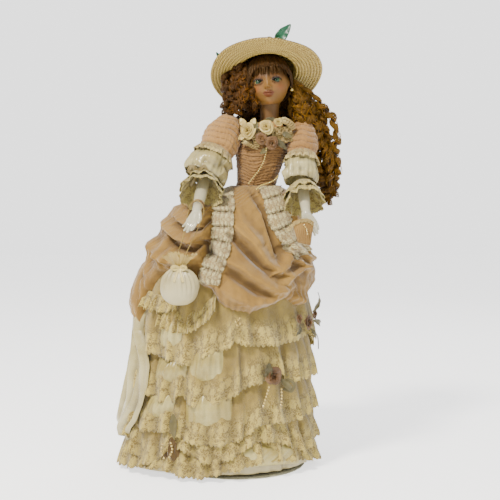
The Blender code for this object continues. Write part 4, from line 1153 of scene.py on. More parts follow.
PEARLS_FRONT = [(0.0375, -0.0300, 0.4210), (0.0360, -0.0275, 0.4120), (0.0330, -0.0262, 0.4020),
                (0.0280, -0.0250, 0.3930), (0.0210, -0.0245, 0.3840), (0.0145, -0.0285, 0.3755)]
PEARLS_SIDE = [(0.0530, -0.0165, 0.3850), (0.0490, -0.0215, 0.3805), (0.0435, -0.0252, 0.3772),
               (0.0370, -0.0305, 0.3750), (0.0300, -0.0370, 0.3725), (0.0245, -0.0460, 0.3680)]


def make_pearls(skin):
    for name, route, node in (("pearl_strand_front", PEARLS_FRONT, "pearls_front"),
                              ("pearl_strand_side", PEARLS_SIDE, "pearls_side")):
        path = evenly(smooth_path(route, 120), 60)
        made = piece(name, beads(path, 0.00122, 1.16), skin, "doll", [node])


def make_neckline(skins):
    """Roses, leaves and lace at the neckline."""
    white, dusty, green, frill = [], [], [], []
    white.append(rose(seen(248.5, 131.0, -0.0250), (-0.35, -1, 0.15), 0.0105, 13, 1))
    white.append(rose(seen(266.0, 127.5, -0.0315), (0.0, -1, 0.25), 0.0095, 13, 2))
    white.append(rose(seen(278.0, 122.5, -0.0260), (0.3, -1, 0.3), 0.0062, 10, 3))
    dusty.append(rose(seen(261.5, 138.5, -0.0315), (-0.1, -1, -0.05), 0.0078, 12, 4))
    dusty.append(rose(seen(271.5, 143.0, -0.0310), (0.15, -1, -0.1), 0.0088, 12, 5))
    for a, b, wide in (((263, 123), (275, 118), 0.0080), ((254, 131), (258, 122), 0.0070), ((276, 139), (287, 150), 0.0075),
                       ((268, 148), (260, 154), 0.0065), ((282, 133), (292, 137), 0.0075)):
        green.append(leaf(seen(*a, -0.0280), seen(*b, -0.0275), (0, -1, 0), wide, 0.10))
    # the pointed outer petals of the rosebud
    for a, b, wide in (((246, 127), (240, 118), 0.0085), ((252, 126), (255, 118), 0.0080), ((245, 136), (238, 139), 0.0075)):
        white.append(leaf(seen(*a, -0.0270), seen(*b, -0.0250), (-0.2, -1, 0.2), wide, 0.12))
    for route, seed, wide in (
        ([(272, 134), (278, 131), (285, 131), (292, 130)], 1, 0.010),
        ([(270, 140), (278, 139), (286, 139), (293, 137)], 2, 0.009),
        ([(253, 134), (256, 141), (257, 147)], 3, 0.007),
        ([(244, 141), (248, 143), (254, 146)], 4, 0.007),
        ([(283, 120), (289, 123), (293, 127)], 5, 0.008),
    ):
        line = smooth_path([seen(u, v, -0.0255 + 0.0012 * i) for i, (u, v) in enumerate(route)], 150)
        line[:, 2] += 0.0010 * np.sin(np.linspace(0, 34, 150) + seed)
        line[:, 1] -= 0.0018 * np.abs(np.sin(np.linspace(0, 17, 150) + seed))
        frill.append(ribbon(line, wide, (0, -1, 0.5), 0.0004, 0.10, 9))
    piece("shoulder_rosebud", white[0], skins["white"], "doll", ["rose_shoulder"])
    piece("neckline_cream_roses", joined(*white[1:3], *white[3:]), skins["white"], "doll")
    piece("neckline_dusty_roses", joined(*dusty), skins["dusty"], "doll", ["roses_neckline"])
    piece("neckline_leaves", joined(*green), skins["green"], "doll")
    piece("neckline_lace", joined(*frill), skins["ladder"], "doll")
    # lace round the whole neckline
    cols, rows = 520, 12
    at = np.linspace(-math.pi, math.pi, cols, endpoint=False)[None]
    s = np.linspace(0, 1, rows)[:, None]
    z = 0.4375 + 0.0095 * s + 0.0004 * np.abs(np.sin(at * 26)) * s
    out = 0.0012 + 0.0016 * np.sin(at * 34 + 2 * np.sin(5 * at)) * s + 0.001 * s
    points = bodice_at(at, z, out)
    made = piece("neckline_frill", cloth(points, 0.0004, True, np.stack(np.broadcast_arrays(at * 0.045, s * 0.01), -1)),
                 skins["ladder"], "doll")


def make_skirt_trims(skins):
    """The dried roses, leaves and bead tails on the skirt."""
    spot, normal = skirt_at(270.5, 375.5, 0.0040)
    piece("skirt_rose_front", rose(spot, normal, 0.0115, 15, 7), skins["dusty"], "doll", ["rose_skirt_front"])
    greens = [leaf(skirt_at(264, 378, 0.008)[0], skirt_at(266, 361, 0.008)[0], normal, 0.011, 0.08)]
    greens.append(leaf(skirt_at(277, 378, 0.007)[0], skirt_at(288, 391, 0.008)[0], normal, 0.008, 0.14))
    greens.append(leaf(skirt_at(175, 413, 0.004)[0], skirt_at(177, 439, 0.007)[0], skirt_at(176, 425)[1], 0.010, 0.06))
    loop = smooth_path([skirt_at(u, v, o)[0] for u, v, o in
                        ((279, 381, .006), (284, 379, .010), (288, 383, .011), (286, 390, .010), (280, 388, .006))], 40)
    greens.append(ribbon(loop, 0.0038, normal, 0.0004))
    spot, side = skirt_at(303, 322, 0.0050)
    dried = [rose(spot, side + (0.3, 0, 0), 0.0095, 12, 8)]
    dried.append(rose(skirt_at(295, 318, 0.005)[0], side, 0.0062, 9, 9))
    dried.append(rose(skirt_at(311, 314, 0.003)[0], side + (0.5, 0, 0), 0.0065, 9, 10))
    for a, b, wide in (((309, 320), (323, 325), 0.008), ((308, 312), (317, 292), 0.008), ((297, 326), (291, 335), 0.007),
                       ((306, 328), (310, 339), 0.006)):
        greens.append(leaf(skirt_at(*a, 0.006)[0], skirt_at(*b, 0.008)[0], side, wide, 0.12))
    piece("skirt_rose_side", joined(*dried), skins["dusty"], "doll", ["rose_skirt_side"])
    piece("skirt_leaves", joined(*greens), skins["green"], "doll")
    tails = []
    for route, out in (
        ([(265.7, 386), (263.5, 394), (260.5, 405)], 0.0085),
        ([(277.4, 388), (277.6, 398), (276.7, 407)], 0.0085),
        ([(165, 443), (164, 450), (166.5, 457)], 0.0060),
        ([(173, 442), (174.5, 449), (171.5, 456)], 0.0060),
    ):
        line = smooth_path([skirt_at(u, v, out)[0] for u, v in route], 40)
        tails.append(beads(line, 0.0015, 1.25))
    for k in range(5):
        u, v = 236.8 + 2.2 * math.cos(k * 1.9), 321 + 3.6 * math.sin(k * 1.3 + 0.5)
        a, n = skirt_at(u, v, 0.008)
        ball = lathe([(0.0013 * math.sin(q), -0.0013 * math.cos(q)) for q in np.linspace(0, math.pi, 9)], 12)
        tails.append((ball[0] + a, ball[1], None))
    piece("skirt_beads", joined(*tails), skins["pearl"], "doll")
    stem = smooth_path([skirt_at(u, v, o)[0] for u, v, o in
                        ((311.6, 331.6, .004), (316, 336, .006), (318, 342, .007), (319, 349, .007))], 30)
    piece("skirt_stem", tubes(stem[None], 0.0007, 8), skins["green"], "doll")


# ---------------------------------------------------------------- the head

HEAD = Matrix.Translation((0.040, 0.000, 0.508)) @ Euler(
    (math.radians(-4), math.radians(-6), math.radians(-3))
).to_matrix().to_4x4()
HEAD_RADII = np.array((0.0265, 0.0310, 0.0325))
EYE_X, EYE_Y, EYE_Z = 0.0118, -0.0212, -0.0001
FACE_DROP = 0.0020  # how far the features sit below the middle of the form
NECK = np.array((0.042, 0.003, 0.4545))


def bell(x, centre, width):
    return np.exp(-(((x - centre) / width) ** 2))


def eye_shape(x, z):
    """Signed measure of an eye's almond: over 0 inside the opening."""
    dx = (np.abs(x) - EYE_X) / 0.0052
    room = np.clip(1 - dx**2, 0, 1)
    upper = EYE_Z + 0.0030 * room**0.62
    lower = EYE_Z - 0.0028 * room**0.8
    inside = np.minimum(upper - z, z - lower)
    return np.where(np.abs(dx) < 1, inside, -np.hypot(np.maximum(np.abs(dx) - 1, 0) * 0.0052, z - EYE_Z))


def head_points():
    """The head and neck as a grid: rows from the neck up to the open crown, columns round from the back."""
    cols, rows = 460, 380
    t = np.linspace(-math.pi, math.pi, cols, endpoint=False)
    around = (t - 0.58 * np.sin(t))[None]
    rise = np.linspace(-1.36, 0.572, rows)[:, None]
    x = HEAD_RADII[0] * np.sin(around) * np.cos(rise)
    y = -HEAD_RADII[1] * np.cos(around) * np.cos(rise)
    z = HEAD_RADII[2] * np.sin(rise) + 0 * around
    front = smoothstep(-y, -0.002, 0.012)
    low = np.clip(-z / HEAD_RADII[2], 0, 1)
    cx, cz = x.copy(), z + FACE_DROP
    x = x * (1 - 0.085 * low**2 * (0.4 + 0.6 * front) - 0.05 * bell(z, 0.012, 0.010) * front + 0.045 * bell(z, -0.010, 0.010) * front)
    z = z - 0.0020 * bell(x, 0, 0.0110) * bell(z, -0.0270, 0.0070) * front
    push = np.zeros(x.shape)
    ax = np.abs(cx)
    push += 0.0016 * bell(cx, 0, 0.0034) * bell(cz, 0.0020, 0.0060)  # bridge
    push += 0.0030 * bell(cx, 0, 0.0031) * bell(cz, -0.0045, 0.0038)
    push += 0.0042 * bell(cx, 0, 0.0031) * bell(cz, -0.0078, 0.0023)  # tip
    push += 0.0021 * bell(ax, 0.0032, 0.0015) * bell(cz, -0.0085, 0.0015)  # wings
    push -= 0.0008 * bell(ax, 0.0013, 0.0008) * bell(cz, -0.0098, 0.0006)  # nostrils
    push -= 0.0006 * bell(cx, 0, 0.0010) * bell(cz, -0.0118, 0.0012)
    push += 0.0026 * bell(cx, 0, 0.0085) * bell(cz, -0.0150, 0.0050)  # round of the mouth
    push += 0.0009 * bell(ax, 0.0020, 0.0034) * bell(cz, -0.0135, 0.0012)
    push += 0.0013 * bell(cx, 0, 0.0044) * bell(cz, -0.0172, 0.0016)
    push -= 0.0014 * bell(cx, 0, 0.0042) * bell(cz, -0.01525 + 0.00025 * np.cos(cx * 1300), 0.00034)
    push -= 0.0006 * bell(ax, 0.0051, 0.0011) * bell(cz, -0.0153, 0.0012)
    push -= 0.0010 * bell(cx, 0, 0.0032) * bell(cz, -0.0195, 0.0013)
    push += 0.0034 * bell(cx, 0, 0.0080) * bell(cz, -0.0255, 0.0050)  # chin
    push += 0.0012 * bell(ax, 0.0135, 0.0060) * bell(cz, -0.0105, 0.0062)  # cheeks
    push -= 0.0015 * bell(ax, EYE_X, 0.0072) * bell(cz, EYE_Z + 0.001, 0.0050)  # sockets
    push += 0.0008 * bell(ax, 0.0115, 0.0066) * bell(cz, 0.0068, 0.0018)  # brow
    almond = eye_shape(cx, cz)
    lids = np.exp(-((np.abs(almond) / 0.0011) ** 2)) * (almond < 0)
    push += 0.0012 * lids + 0.0004 * bell(almond, -0.0026, 0.0005) * (cz > EYE_Z) * -1
    push += 0.0015 * bell(ax, EYE_X, 0.0052) * bell(cz, EYE_Z, 0.0042)
    push -= 0.0062 * smoothstep(almond, -0.0001, 0.0004)
    push *= front
    y = y - push
    ear = bell(z, -0.0015, 0.0058) * bell(y, 0.0020, 0.0040)
    rim = bell(z, -0.0015, 0.0034) * bell(y, 0.0012, 0.0022)
    x = x + np.sign(x) * (0.0042 * ear - 0.0026 * rim)
    points = np.stack([x, y, z], -1)
    paint = face_paint(cx, cz, almond, front, ear, rim)
    # the neck, from the swivel ball up into the head
    world = moved(points, HEAD)
    down = smoothstep(-z, 0.0240, 0.0316)
    ring = np.arctan2(world[..., 1] - NECK[1], world[..., 0] - NECK[0])
    extra = 26
    top = world[:1]
    heights = np.linspace(0, 1, extra)[:, None]
    neck_x = NECK[0] + (0.0124 + 0.0012 * np.abs(1 - 2 * heights) ** 2) * np.cos(ring[:1])
    neck_y = NECK[1] + (0.0118 + 0.0012 * np.abs(1 - 2 * heights) ** 2) * np.sin(ring[:1])
    neck_z = 0.4525 + (0.4815 - 0.4525) * heights + 0 * ring[:1]
    neck = np.stack([neck_x, neck_y, neck_z], -1)
    join = np.linspace(0, 1, 8)[1:-1, None, None]
    start = rows - (world[:, 0, 2] > 0).sum()
    first = int(np.argmax(rise[:, 0] > -1.10))
    bridge = neck[-1:] * (1 - join) + world[first : first + 1] * join
    bulge = np.sin(join * math.pi) * 0.0012
    bridge[..., 2] += bulge[..., 0]
    whole = np.concatenate([neck, bridge, world[first:]])
    # the neck's rows take the face paint below the chin, so they carry its painted shade
    blank = face_paint(np.full((extra + 6, cols), 0.03), np.full((extra + 6, cols), -0.032), np.full((extra + 6, cols), -0.01),
                       np.zeros((extra + 6, cols)), np.zeros((extra + 6, cols)), np.zeros((extra + 6, cols)))
    return whole, np.concatenate([blank, paint[first:]])


def face_paint(x, z, almond, front, ear, rim):
    """The painted colour of the bisque at each point, linear, with painted shade under the chin and a painted shadow of
    the fringe on the forehead.
    """
    skin = np.array(linear((137, 102, 62)))
    paint = np.broadcast_to(skin, (*x.shape, 3)).copy()

    def lay(colour, amount):
        nonlocal paint
        amount = np.clip(amount, 0, 1)[..., None]
        paint = paint * (1 - amount) + np.array(linear(colour)) * amount

    ax = np.abs(x)
    # painted shade on the neck under the chin
    lay((110, 79, 44), 0.85 * smoothstep(-z, 0.0275, 0.0310))
    # painted shadow of the fringe across the forehead
    lay((92, 62, 34), 0.85 * smoothstep(z, -0.0010, 0.0085) * front)
    lay((160, 92, 58), 0.50 * bell(ax, 0.0150, 0.0062) * bell(z, -0.0085, 0.0060) * front)
    lay((176, 126, 94), 0.35 * bell(x, 0, 0.0050) * bell(z, -0.0255, 0.0030) * front)
    lay((140, 94, 66), 0.50 * bell(ax, EYE_X, 0.0062) * bell(z, EYE_Z + 0.0048, 0.0022) * front)
    lay((160, 114, 84), 0.35 * bell(ax, EYE_X, 0.0060) * bell(z, EYE_Z - 0.0042, 0.0016) * front)
    lay((120, 60, 44), 0.9 * bell(ax, 0.00135, 0.00055) * bell(z, -0.0098, 0.00042) * front)
    # lips
    bow = smoothstep(1 - (ax / 0.0086) ** 1.6 - ((z + 0.0152) / 0.0036) ** 2, 0.0, 0.35) * (z > -0.0153)
    bow *= 1 - 0.8 * bell(x, 0, 0.0006) * smoothstep(z, -0.0140, -0.0132)
    lower = smoothstep(1 - (x / 0.0074) ** 2 - ((z + 0.0155) / 0.0044) ** 2, 0.0, 0.35) * (z <= -0.0153)
    lay((112, 58, 36), 0.85 * np.maximum(bow, lower) * front)
    lay((96, 34, 26), 0.85 * bell(z, -0.01525 + 0.00025 * np.cos(x * 1300), 0.00026) * smoothstep(0.0078 - ax, 0, 0.0012) * front)
    # eye lines and lashes
    line = bell(almond, -0.0004, 0.00075)
    lay((30, 18, 12), 0.98 * line * smoothstep(z, EYE_Z - 0.0006, EYE_Z + 0.0008) * front)
    lay((98, 62, 40), 0.55 * line * smoothstep(-z, -EYE_Z - 0.0004, -EYE_Z + 0.0010) * front)
    stroke = np.abs(np.sin((ax - EYE_X) * 2600 + (z - EYE_Z) * 900 * np.sign(ax - EYE_X))) ** 6
    under = smoothstep(-almond, 0.0002, 0.0005) * (1 - smoothstep(-almond, 0.0012, 0.0018)) * (z < EYE_Z - 0.0008)
    lay((90, 56, 34), 0.75 * stroke * under * bell(ax, EYE_X, 0.0052) * front)
    # the upper crease and the brows, stroked
    lay((150, 96, 66), 0.6 * bell(almond, -0.0019, 0.00035) * smoothstep(z, EYE_Z + 0.0008, EYE_Z + 0.0020) * front)
    arch = 0.0066 + 0.0016 * (1 - ((ax - 0.0120) / 0.0072) ** 2)
    across = smoothstep(ax, 0.0042, 0.0066) * (1 - smoothstep(ax, 0.0158, 0.0196))
    hairs = 0.55 + 0.45 * np.sin((ax * 1.0 + z * 0.8) * 7200)
    lay((112, 72, 40), 0.72 * across * bell(z, arch, 0.00095) * hairs * front)
    lay((188, 120, 92), 0.4 * rim)
    return paint


def make_head(skins):
    points, paint = head_points()
    verts, faces, uv = cloth(points, 0.0017, True, np.stack(np.broadcast_arrays(
        np.linspace(0, 0.17, points.shape[1])[None], np.linspace(0, 0.09, points.shape[0])[:, None]), -1))
    both = np.concatenate([paint.reshape(-1, 3)] * 2)
    piece("bisque_head", (verts, faces, uv), skins["bisque"], "head", ["head"], both)
    for side, name in ((-1, "right"), (1, "left")):
        # UV v is the distance from the pupil's centre, u the angle round it
        rings = np.linspace(0.0001, math.pi - 0.0001, 64)[:, None]
        turn = np.linspace(0, 2 * math.pi, 96, endpoint=False)[None]
        bulge = 0.0062 + 0.0006 * np.exp(-((rings / 0.42) ** 2))
        local = np.stack(np.broadcast_arrays(bulge * np.sin(rings) * np.cos(turn), -bulge * np.cos(rings),
                                             bulge * np.sin(rings) * np.sin(turn)), -1)
        look = Euler((math.radians(-3), 0, math.radians(2))).to_matrix().to_4x4()
        place = HEAD @ Matrix.Translation((side * EYE_X, EYE_Y, EYE_Z - FACE_DROP)) @ look
        uv = np.stack(np.broadcast_arrays(turn * 0.0032, rings * 0.0062), -1).reshape(-1, 2)
        faces = grid_faces(64, 96, True)
        caps = [np.arange(96)[::-1][None], (np.arange(96) + 63 * 96)[None]]
        eye = (moved(local.reshape(-1, 3), place), [faces, *caps], uv)
        volume = local[1, 0] @ np.cross(local[1, 1], local[2, 0])
        eye = eye if volume > 0 else (eye[0], [f[:, ::-1] for f in eye[1]], eye[2])
        piece(f"glass_eye_{name}", eye, skins["eye"], "head", [f"eye_{name}"])
        lashes = []
        for k in range(30):
            dx = -0.0052 + 0.0104 * k / 29
            room = max(0.0, 1 - (dx / 0.0057) ** 2)
            root = np.array((side * EYE_X + dx * side, 0, EYE_Z - FACE_DROP + 0.0029 * room**0.62 - 0.0001))
            x0 = root[0] / HEAD_RADII[0]
            z0 = root[2] / HEAD_RADII[2]
            root[1] = -HEAD_RADII[1] * math.sqrt(max(0.05, 1 - x0**2 - z0**2)) - 0.0006
            lean = dx * 0.16 * side * 2
            tip = root + np.array((lean, -0.0021, 0.0022 + 0.0006 * math.sin(k * 2.1)))
            mid = (root + tip) / 2 + np.array((0, -0.0006, -0.0007))
            lashes.append(smooth_path([root, mid, tip], 8))
        part = tubes(np.array(lashes), np.linspace(0.00016, 0.00005, 8)[None], 4)
        piece(f"lashes_{name}", (moved(part[0], HEAD), part[1], part[2]), skins["lash"], "head")
        drop = HEAD @ Vector((side * 0.0302, 0.001, -0.0125))
        ball = lathe([(0.0021 * math.sin(a), -0.0021 * math.cos(a)) for a in np.linspace(0, math.pi, 14)], 24)
        hook = tubes(np.array([smooth_path([np.array(drop) + (0, 0, 0.0018), np.array(drop) + (-side * 0.0012, 0, 0.0034),
                                            np.array(drop) + (-side * 0.0024, 0, 0.0040)], 10)]), 0.0003, 6)
        piece(f"pearl_earring_{name}", joined((ball[0] + np.array(drop), ball[1], None), hook), skins["pearl"], "head",
              [f"earring_{name}"])


# ---------------------------------------------------------------- the wig


def hair_paint(count, per_lock, rng, base):
    """A tone for each strand, repeated over its vertices."""
    tone = rng.uniform(0.55, 1.35, (count, 1)) * np.array(linear(base))[None]
    warm = rng.uniform(0.9, 1.12, (count, 1))
    tone[:, :1] *= warm
    return np.repeat(tone, per_lock, 0)


def ringlet(route, radius, pitch, rng, tone, strands=24, hand=1, thickness=0.00034):
    """A loose curl: strands that leave the head in a wavy lock, then wind together in an opening spiral."""
    coarse = smooth_path(route, 80)
    turns = path_length(coarse) / pitch
    long = int(13 * turns) + 10
    line = evenly(coarse, long)
    at = np.linspace(0, 1, long)
    stroll = [rng.uniform(0, 6.3) for _ in range(4)]
    line = line + smoothstep(at, 0.1, 0.5)[:, None] * np.stack([
        0.0022 * np.sin(at * 13 + stroll[0]) + 0.0012 * np.sin(at * 29 + stroll[1]),
        0.0018 * np.sin(at * 11 + stroll[2]), 0.0010 * np.sin(at * 23 + stroll[3])], -1)
    first, second = paths_frames(line[None])
    first, second = first[0], second[0]
    s = np.linspace(0, 1, long)
    paths = []
    open_up = smoothstep(s, 0.02, 0.45)
    size = radius * (0.42 + 0.58 * open_up) * (1 - 0.25 * smoothstep(s, 0.85, 1.0)) * (1 + 0.22 * np.sin(s * 17 + rng.uniform(0, 6)))
    start = rng.uniform(0, 6.3)
    drift = np.cumsum(rng.normal(0, 0.16, long))
    for k in range(strands):
        share = k / strands + rng.uniform(-0.03, 0.03)
        turn = start + drift + hand * 2 * math.pi * (turns * s + share * (0.95 - 0.40 * open_up)) + 0.18 * np.sin(s * 15 + k)
        shell = size * (0.74 + 0.30 * math.sin(share * math.pi) + rng.uniform(-0.10, 0.12)) * (1 + 0.08 * np.sin(s * 20 + k * 1.7))
        paths.append(line + first * (np.cos(turn) * shell)[:, None] + second * (np.sin(turn) * shell)[:, None])
    stray = []
    for k in range(10):
        wave = rng.uniform(0.0015, 0.0042) * np.sin(s * rng.uniform(12, 30) + rng.uniform(0, 6)) * open_up
        other = rng.uniform(0.0015, 0.0040) * np.cos(s * rng.uniform(12, 30) + rng.uniform(0, 6)) * open_up
        stray.append(line + first * wave[:, None] * 1.3 + second * other[:, None] * 1.3)
    core = tubes(line[None], size * 0.40, 8)
    taper = (1 - 0.6 * smoothstep(s, 0.92, 1.0))[None]
    outer = tubes(np.array(paths), thickness * taper * rng.uniform(0.7, 1.5, (strands, 1)), 4)
    loose = tubes(np.array(stray), thickness * 0.8 * taper * rng.uniform(0.7, 1.4, (10, 1)), 3)
    # the core tube is painted darker than the strands: painted shade deep inside the curl
    paint = np.concatenate([hair_paint(1, len(core[0]), rng, (58, 38, 14)), hair_paint(strands, long * 4, rng, tone),
                            hair_paint(10, long * 3, rng, [1.6 * c for c in tone])])
    return joined(core, outer, loose), paint


def curls(name, routes, seed, skin, node, tone):
    rng = np.random.default_rng(seed)
    parts, paints = [], []
    for k, (route, radius, pitch) in enumerate(routes):
        part, paint = ringlet(route, radius, pitch, rng, tone, hand=1 if k % 2 else -1)
        parts.append(part)
        paints.append(paint)
    made = piece(name, joined(*parts), skin, None, [node], np.concatenate(paints))
    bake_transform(made)


def face_opening(angle):
    """1 over the face and 0 behind, wider on the doll's left, where the hair is drawn back from the ear."""
    off = (np.asarray(angle, float) + math.pi / 2 + math.pi) % (2 * math.pi) - math.pi
    return np.exp(-((off / np.where(off > 0, 1.72, 1.10)) ** 4))


def make_wig(skins):
    rng = np.random.default_rng(77)
    skin = skins["hair"]
    # right ringlets, at the viewer's left of the face
    right = []
    for k, (u, v, y, down, lean, size) in enumerate([
        (247, 66, -0.012, 44, -4, 0.0052), (241, 64, -0.006, 50, -6, 0.0056), (235, 68, -0.002, 48, -5, 0.0056),
        (229, 72, 0.004, 44, -3, 0.0056), (245, 70, -0.017, 38, 0, 0.0046), (251, 72, -0.016, 34, 4, 0.0040),
        (238, 66, 0.008, 50, -4, 0.0058), (231, 68, 0.014, 46, -2, 0.0060), (246, 70, 0.014, 44, 2, 0.0058),
        (226, 76, 0.010, 34, 0, 0.0050), (252, 74, -0.010, 38, 5, 0.0042), (240, 74, -0.012, 42, -1, 0.0050),
    ]):
        top = seen(u, v, y)
        mid = seen(u + lean * 0.7 + 1.5 * math.sin(k), v + down * 0.5, y - 0.003)
        end = seen(u + lean, v + down, y - 0.001)
        root = np.array(HEAD @ Vector((-0.0262, 0.6 * y + 0.002, 0.0125 + 0.0012 * math.sin(k * 1.3))))
        right.append(([root, top, mid, end], size * 0.95, 0.0105 + 0.0022 * math.sin(k * 2)))
    curls("curls_right", right, 101, skin, "ringlets_right", (82, 55, 18))
    # the long fall over the left shoulder
    left = []
    for k, (start, ways, size) in enumerate([
        ((294, 80, 0.008), [(299, 100, 0.002), (309, 128, 0.000), (317, 158, 0.006), (321, 186, 0.010)], 0.0064),
        ((295, 81, 0.010), [(307, 102, 0.008), (319, 130, 0.008), (328, 160, 0.010), (331, 192, 0.012)], 0.0066),
        ((296, 84, 0.012), [(313, 104, 0.016), (327, 134, 0.018), (333, 164, 0.020), (334, 196, 0.020)], 0.0066),
        ((293, 86, 0.014), [(300, 106, 0.014), (311, 134, 0.020), (319, 166, 0.022), (325, 202, 0.020)], 0.0066),
        ((293, 84, 0.008), [(295, 98, 0.002), (299, 113, -0.006), (303, 130, -0.006)], 0.0052),
        ((294, 82, 0.008), [(301, 97, 0.002), (306, 114, -0.006), (309, 136, -0.004)], 0.0056),
        ((298, 88, 0.018), [(316, 108, 0.024), (326, 138, 0.028), (328, 170, 0.030), (330, 200, 0.028)], 0.0066),
        ((294, 86, 0.022), [(305, 110, 0.030), (315, 140, 0.034), (320, 172, 0.034), (322, 198, 0.032)], 0.0064),
        ((295, 82, 0.008), [(314, 96, 0.010), (331, 118, 0.012), (336, 146, 0.014), (339, 176, 0.016)], 0.0058),
        ((290, 98, 0.010), [(292, 110, 0.004), (297, 127, 0.000), (299, 146, 0.004)], 0.0054),
        ((290, 88, 0.016), [(298, 110, 0.022), (304, 136, 0.026), (310, 164, 0.028), (314, 190, 0.026)], 0.0062),
        ((295, 83, 0.008), [(305, 104, 0.000), (314, 124, -0.002), (324, 146, 0.002), (327, 172, 0.006)], 0.0054),
        ((300, 90, 0.014), [(318, 112, 0.018), (324, 140, 0.020), (326, 172, 0.022), (329, 206, 0.020)], 0.0058),
    ]):
        left.append(([seen(*start), *[seen(*way) for way in ways]], size * 0.95, 0.0125 + 0.003 * math.sin(k * 1.7)))
    curls("curls_left", left, 102, skin, "ringlets_left", (118, 88, 42))
    # the back of the wig
    back = []
    for k in range(15):
        t = k / 14
        a = math.radians(18 + 150 * t)
        top = np.array(HEAD @ Vector((0.0285 * math.cos(a), 0.012 + 0.022 * math.sin(a), -0.004)))
        low = np.array((0.044 + 0.040 * math.cos(a) * 1.05, 0.020 + 0.030 * math.sin(a), 0.418 + 0.010 * math.sin(5 * a)))
        mid = (top + low) / 2 + np.array((0.004 * math.cos(a), 0.005, 0))
        back.append(([top, mid, low], 0.0062, 0.0125))
    for k in range(11):
        t = k / 10
        a = math.radians(28 + 130 * t)
        top = np.array(HEAD @ Vector((0.0290 * math.cos(a), 0.010 + 0.024 * math.sin(a), 0.004)))
        low = np.array((0.044 + 0.034 * math.cos(a), 0.034 + 0.024 * math.sin(a), 0.446 + 0.008 * math.sin(7 * a)))
        mid = (top + low) / 2 + np.array((0.003 * math.cos(a), 0.010, 0))
        back.append(([top, mid, low], 0.0060, 0.0120))
    curls("curls_back", back, 103, skin, "ringlets_back", (102, 74, 34))

    # the cap of the wig, strands combed from the parting down over its base
    lift = 0.0030
    rows, cols = 70, 240
    at = np.linspace(-math.pi, math.pi, cols, endpoint=False)[None]
    rise = np.linspace(0, 1, rows)[:, None]
    front = face_opening(at)
    edge = -0.62 + 1.12 * front
    el = edge + (math.pi / 2 - 0.02 - edge) * rise
    radii = HEAD_RADII + lift + 0.0012
    ripple = 0.0005 * np.sin(at * 60 + 4 * rise) + 0.0008 * rippled((rows, cols), 71, (10, 40))
    shell = np.stack([(radii[0] + ripple) * np.cos(at) * np.cos(el), (radii[1] + ripple) * np.sin(at) * np.cos(el),
                      (radii[2] + ripple) * np.sin(el) + 0 * at], -1)
    cap = cloth(moved(shell, HEAD), 0.0012, True, np.stack(np.broadcast_arrays(at * 0.03, rise * 0.06), -1))
    # the cap is painted darker than the strands over it: painted shade under them
    paints = [hair_paint(1, len(cap[0]), rng, (44, 30, 12))]
    paths = []
    for k in range(900):
        a = rng.uniform(-math.pi, math.pi)
        end = -0.62 + 1.12 * float(face_opening(a)) - rng.uniform(0, 0.08)
        s = np.linspace(0, 1, 14)
        el = 1.45 + (end - 1.45) * s
        sway = 0.16 * math.sin(k) * s
        out = lift + 0.0020 + 0.0009 * rng.uniform(0, 1) + 0.0008 * np.sin(s * 6 + k)
        paths.append(np.stack([(HEAD_RADII[0] + out) * np.cos(a + sway) * np.cos(el),
                               (HEAD_RADII[1] + out) * np.sin(a + sway) * np.cos(el), (HEAD_RADII[2] + out) * np.sin(el)], -1))
    strands = tubes(moved(np.array(paths), HEAD), 0.00040, 4)
    paints.append(hair_paint(900, 14 * 4, rng, (72, 49, 16)))
    # the fringe: fine locks sweeping down over the forehead from under the hat
    paths = []
    for k in range(620):
        x0 = rng.uniform(-0.0245, 0.0245)
        root_z = 0.0245 + rng.uniform(-0.002, 0.003)
        lock = math.floor((x0 + 0.03) / 0.0030)
        beside = float(smoothstep(-x0, 0.0225, 0.0245)) - 0.25 * float(smoothstep(x0, 0.0150, 0.0200))
        reach = (0.0172 + 0.0014 * math.sin(lock * 2.7)) * rng.uniform(0.90, 1.04) + beside * rng.uniform(0.006, 0.014)
        sweep = 0.0010 * math.sin(lock * 1.9) + 0.0022 * x0 / 0.024
        s = np.linspace(0, 1, 12)
        x = x0 + sweep * s**1.5 + 0.0010 * (((lock + 0.5) * 0.0030 - 0.03) - x0) / 0.0015 * s**2
        tip_z = root_z - reach
        root_z = max(min(0.0300, 0.92 * HEAD_RADII[2] * math.sqrt(max(0.0, 1 - (x0 / HEAD_RADII[0]) ** 2))), root_z - 0.006)
        z = root_z + (tip_z - root_z) * s
        depth = 1 - (x / HEAD_RADII[0]) ** 2 - (z / HEAD_RADII[2]) ** 2
        y = -HEAD_RADII[1] * np.sqrt(np.clip(depth, 0.01, 1)) - 0.0024 - 0.0042 * (1 - s) ** 1.2 - 0.0008 * np.sin(s * math.pi) - rng.uniform(0, 0.0012)
        paths.append(np.stack([x, y, z], -1))
    fringe = tubes(moved(np.array(paths), HEAD), np.linspace(0.00036, 0.00010, 12)[None], 4)
    paints.append(hair_paint(620, 12 * 4, rng, (74, 52, 16)))
    piece("wig_crown", joined(cap, strands, fringe), skin, "head", ["wig_cap"], np.concatenate(paints))


# ---------------------------------------------------------------- the hat

HAT = Matrix.Translation((0.038, 0.012, 0.522)) @ Euler((math.radians(-33), math.radians(-3.3), 0)).to_matrix().to_4x4()


def hat_wave(points):
    """The brim's soft waves and the dent at its upper left edge."""
    radius = np.hypot(points[..., 0], points[..., 1])
    angle = np.arctan2(points[..., 1], points[..., 0])
    out = smoothstep(radius, 0.042, 0.076)
    wave = 0.0017 * np.sin(2 * angle + 0.6) + 0.0010 * np.sin(3 * angle + 2.0) + 0.0006 * np.sin(7 * angle)
    dent = -0.0030 * np.exp(-(((angle - 2.35) / 0.16) ** 2))
    moved_points = points.copy()
    moved_points[..., 2] += out * (wave + dent)
    return moved_points


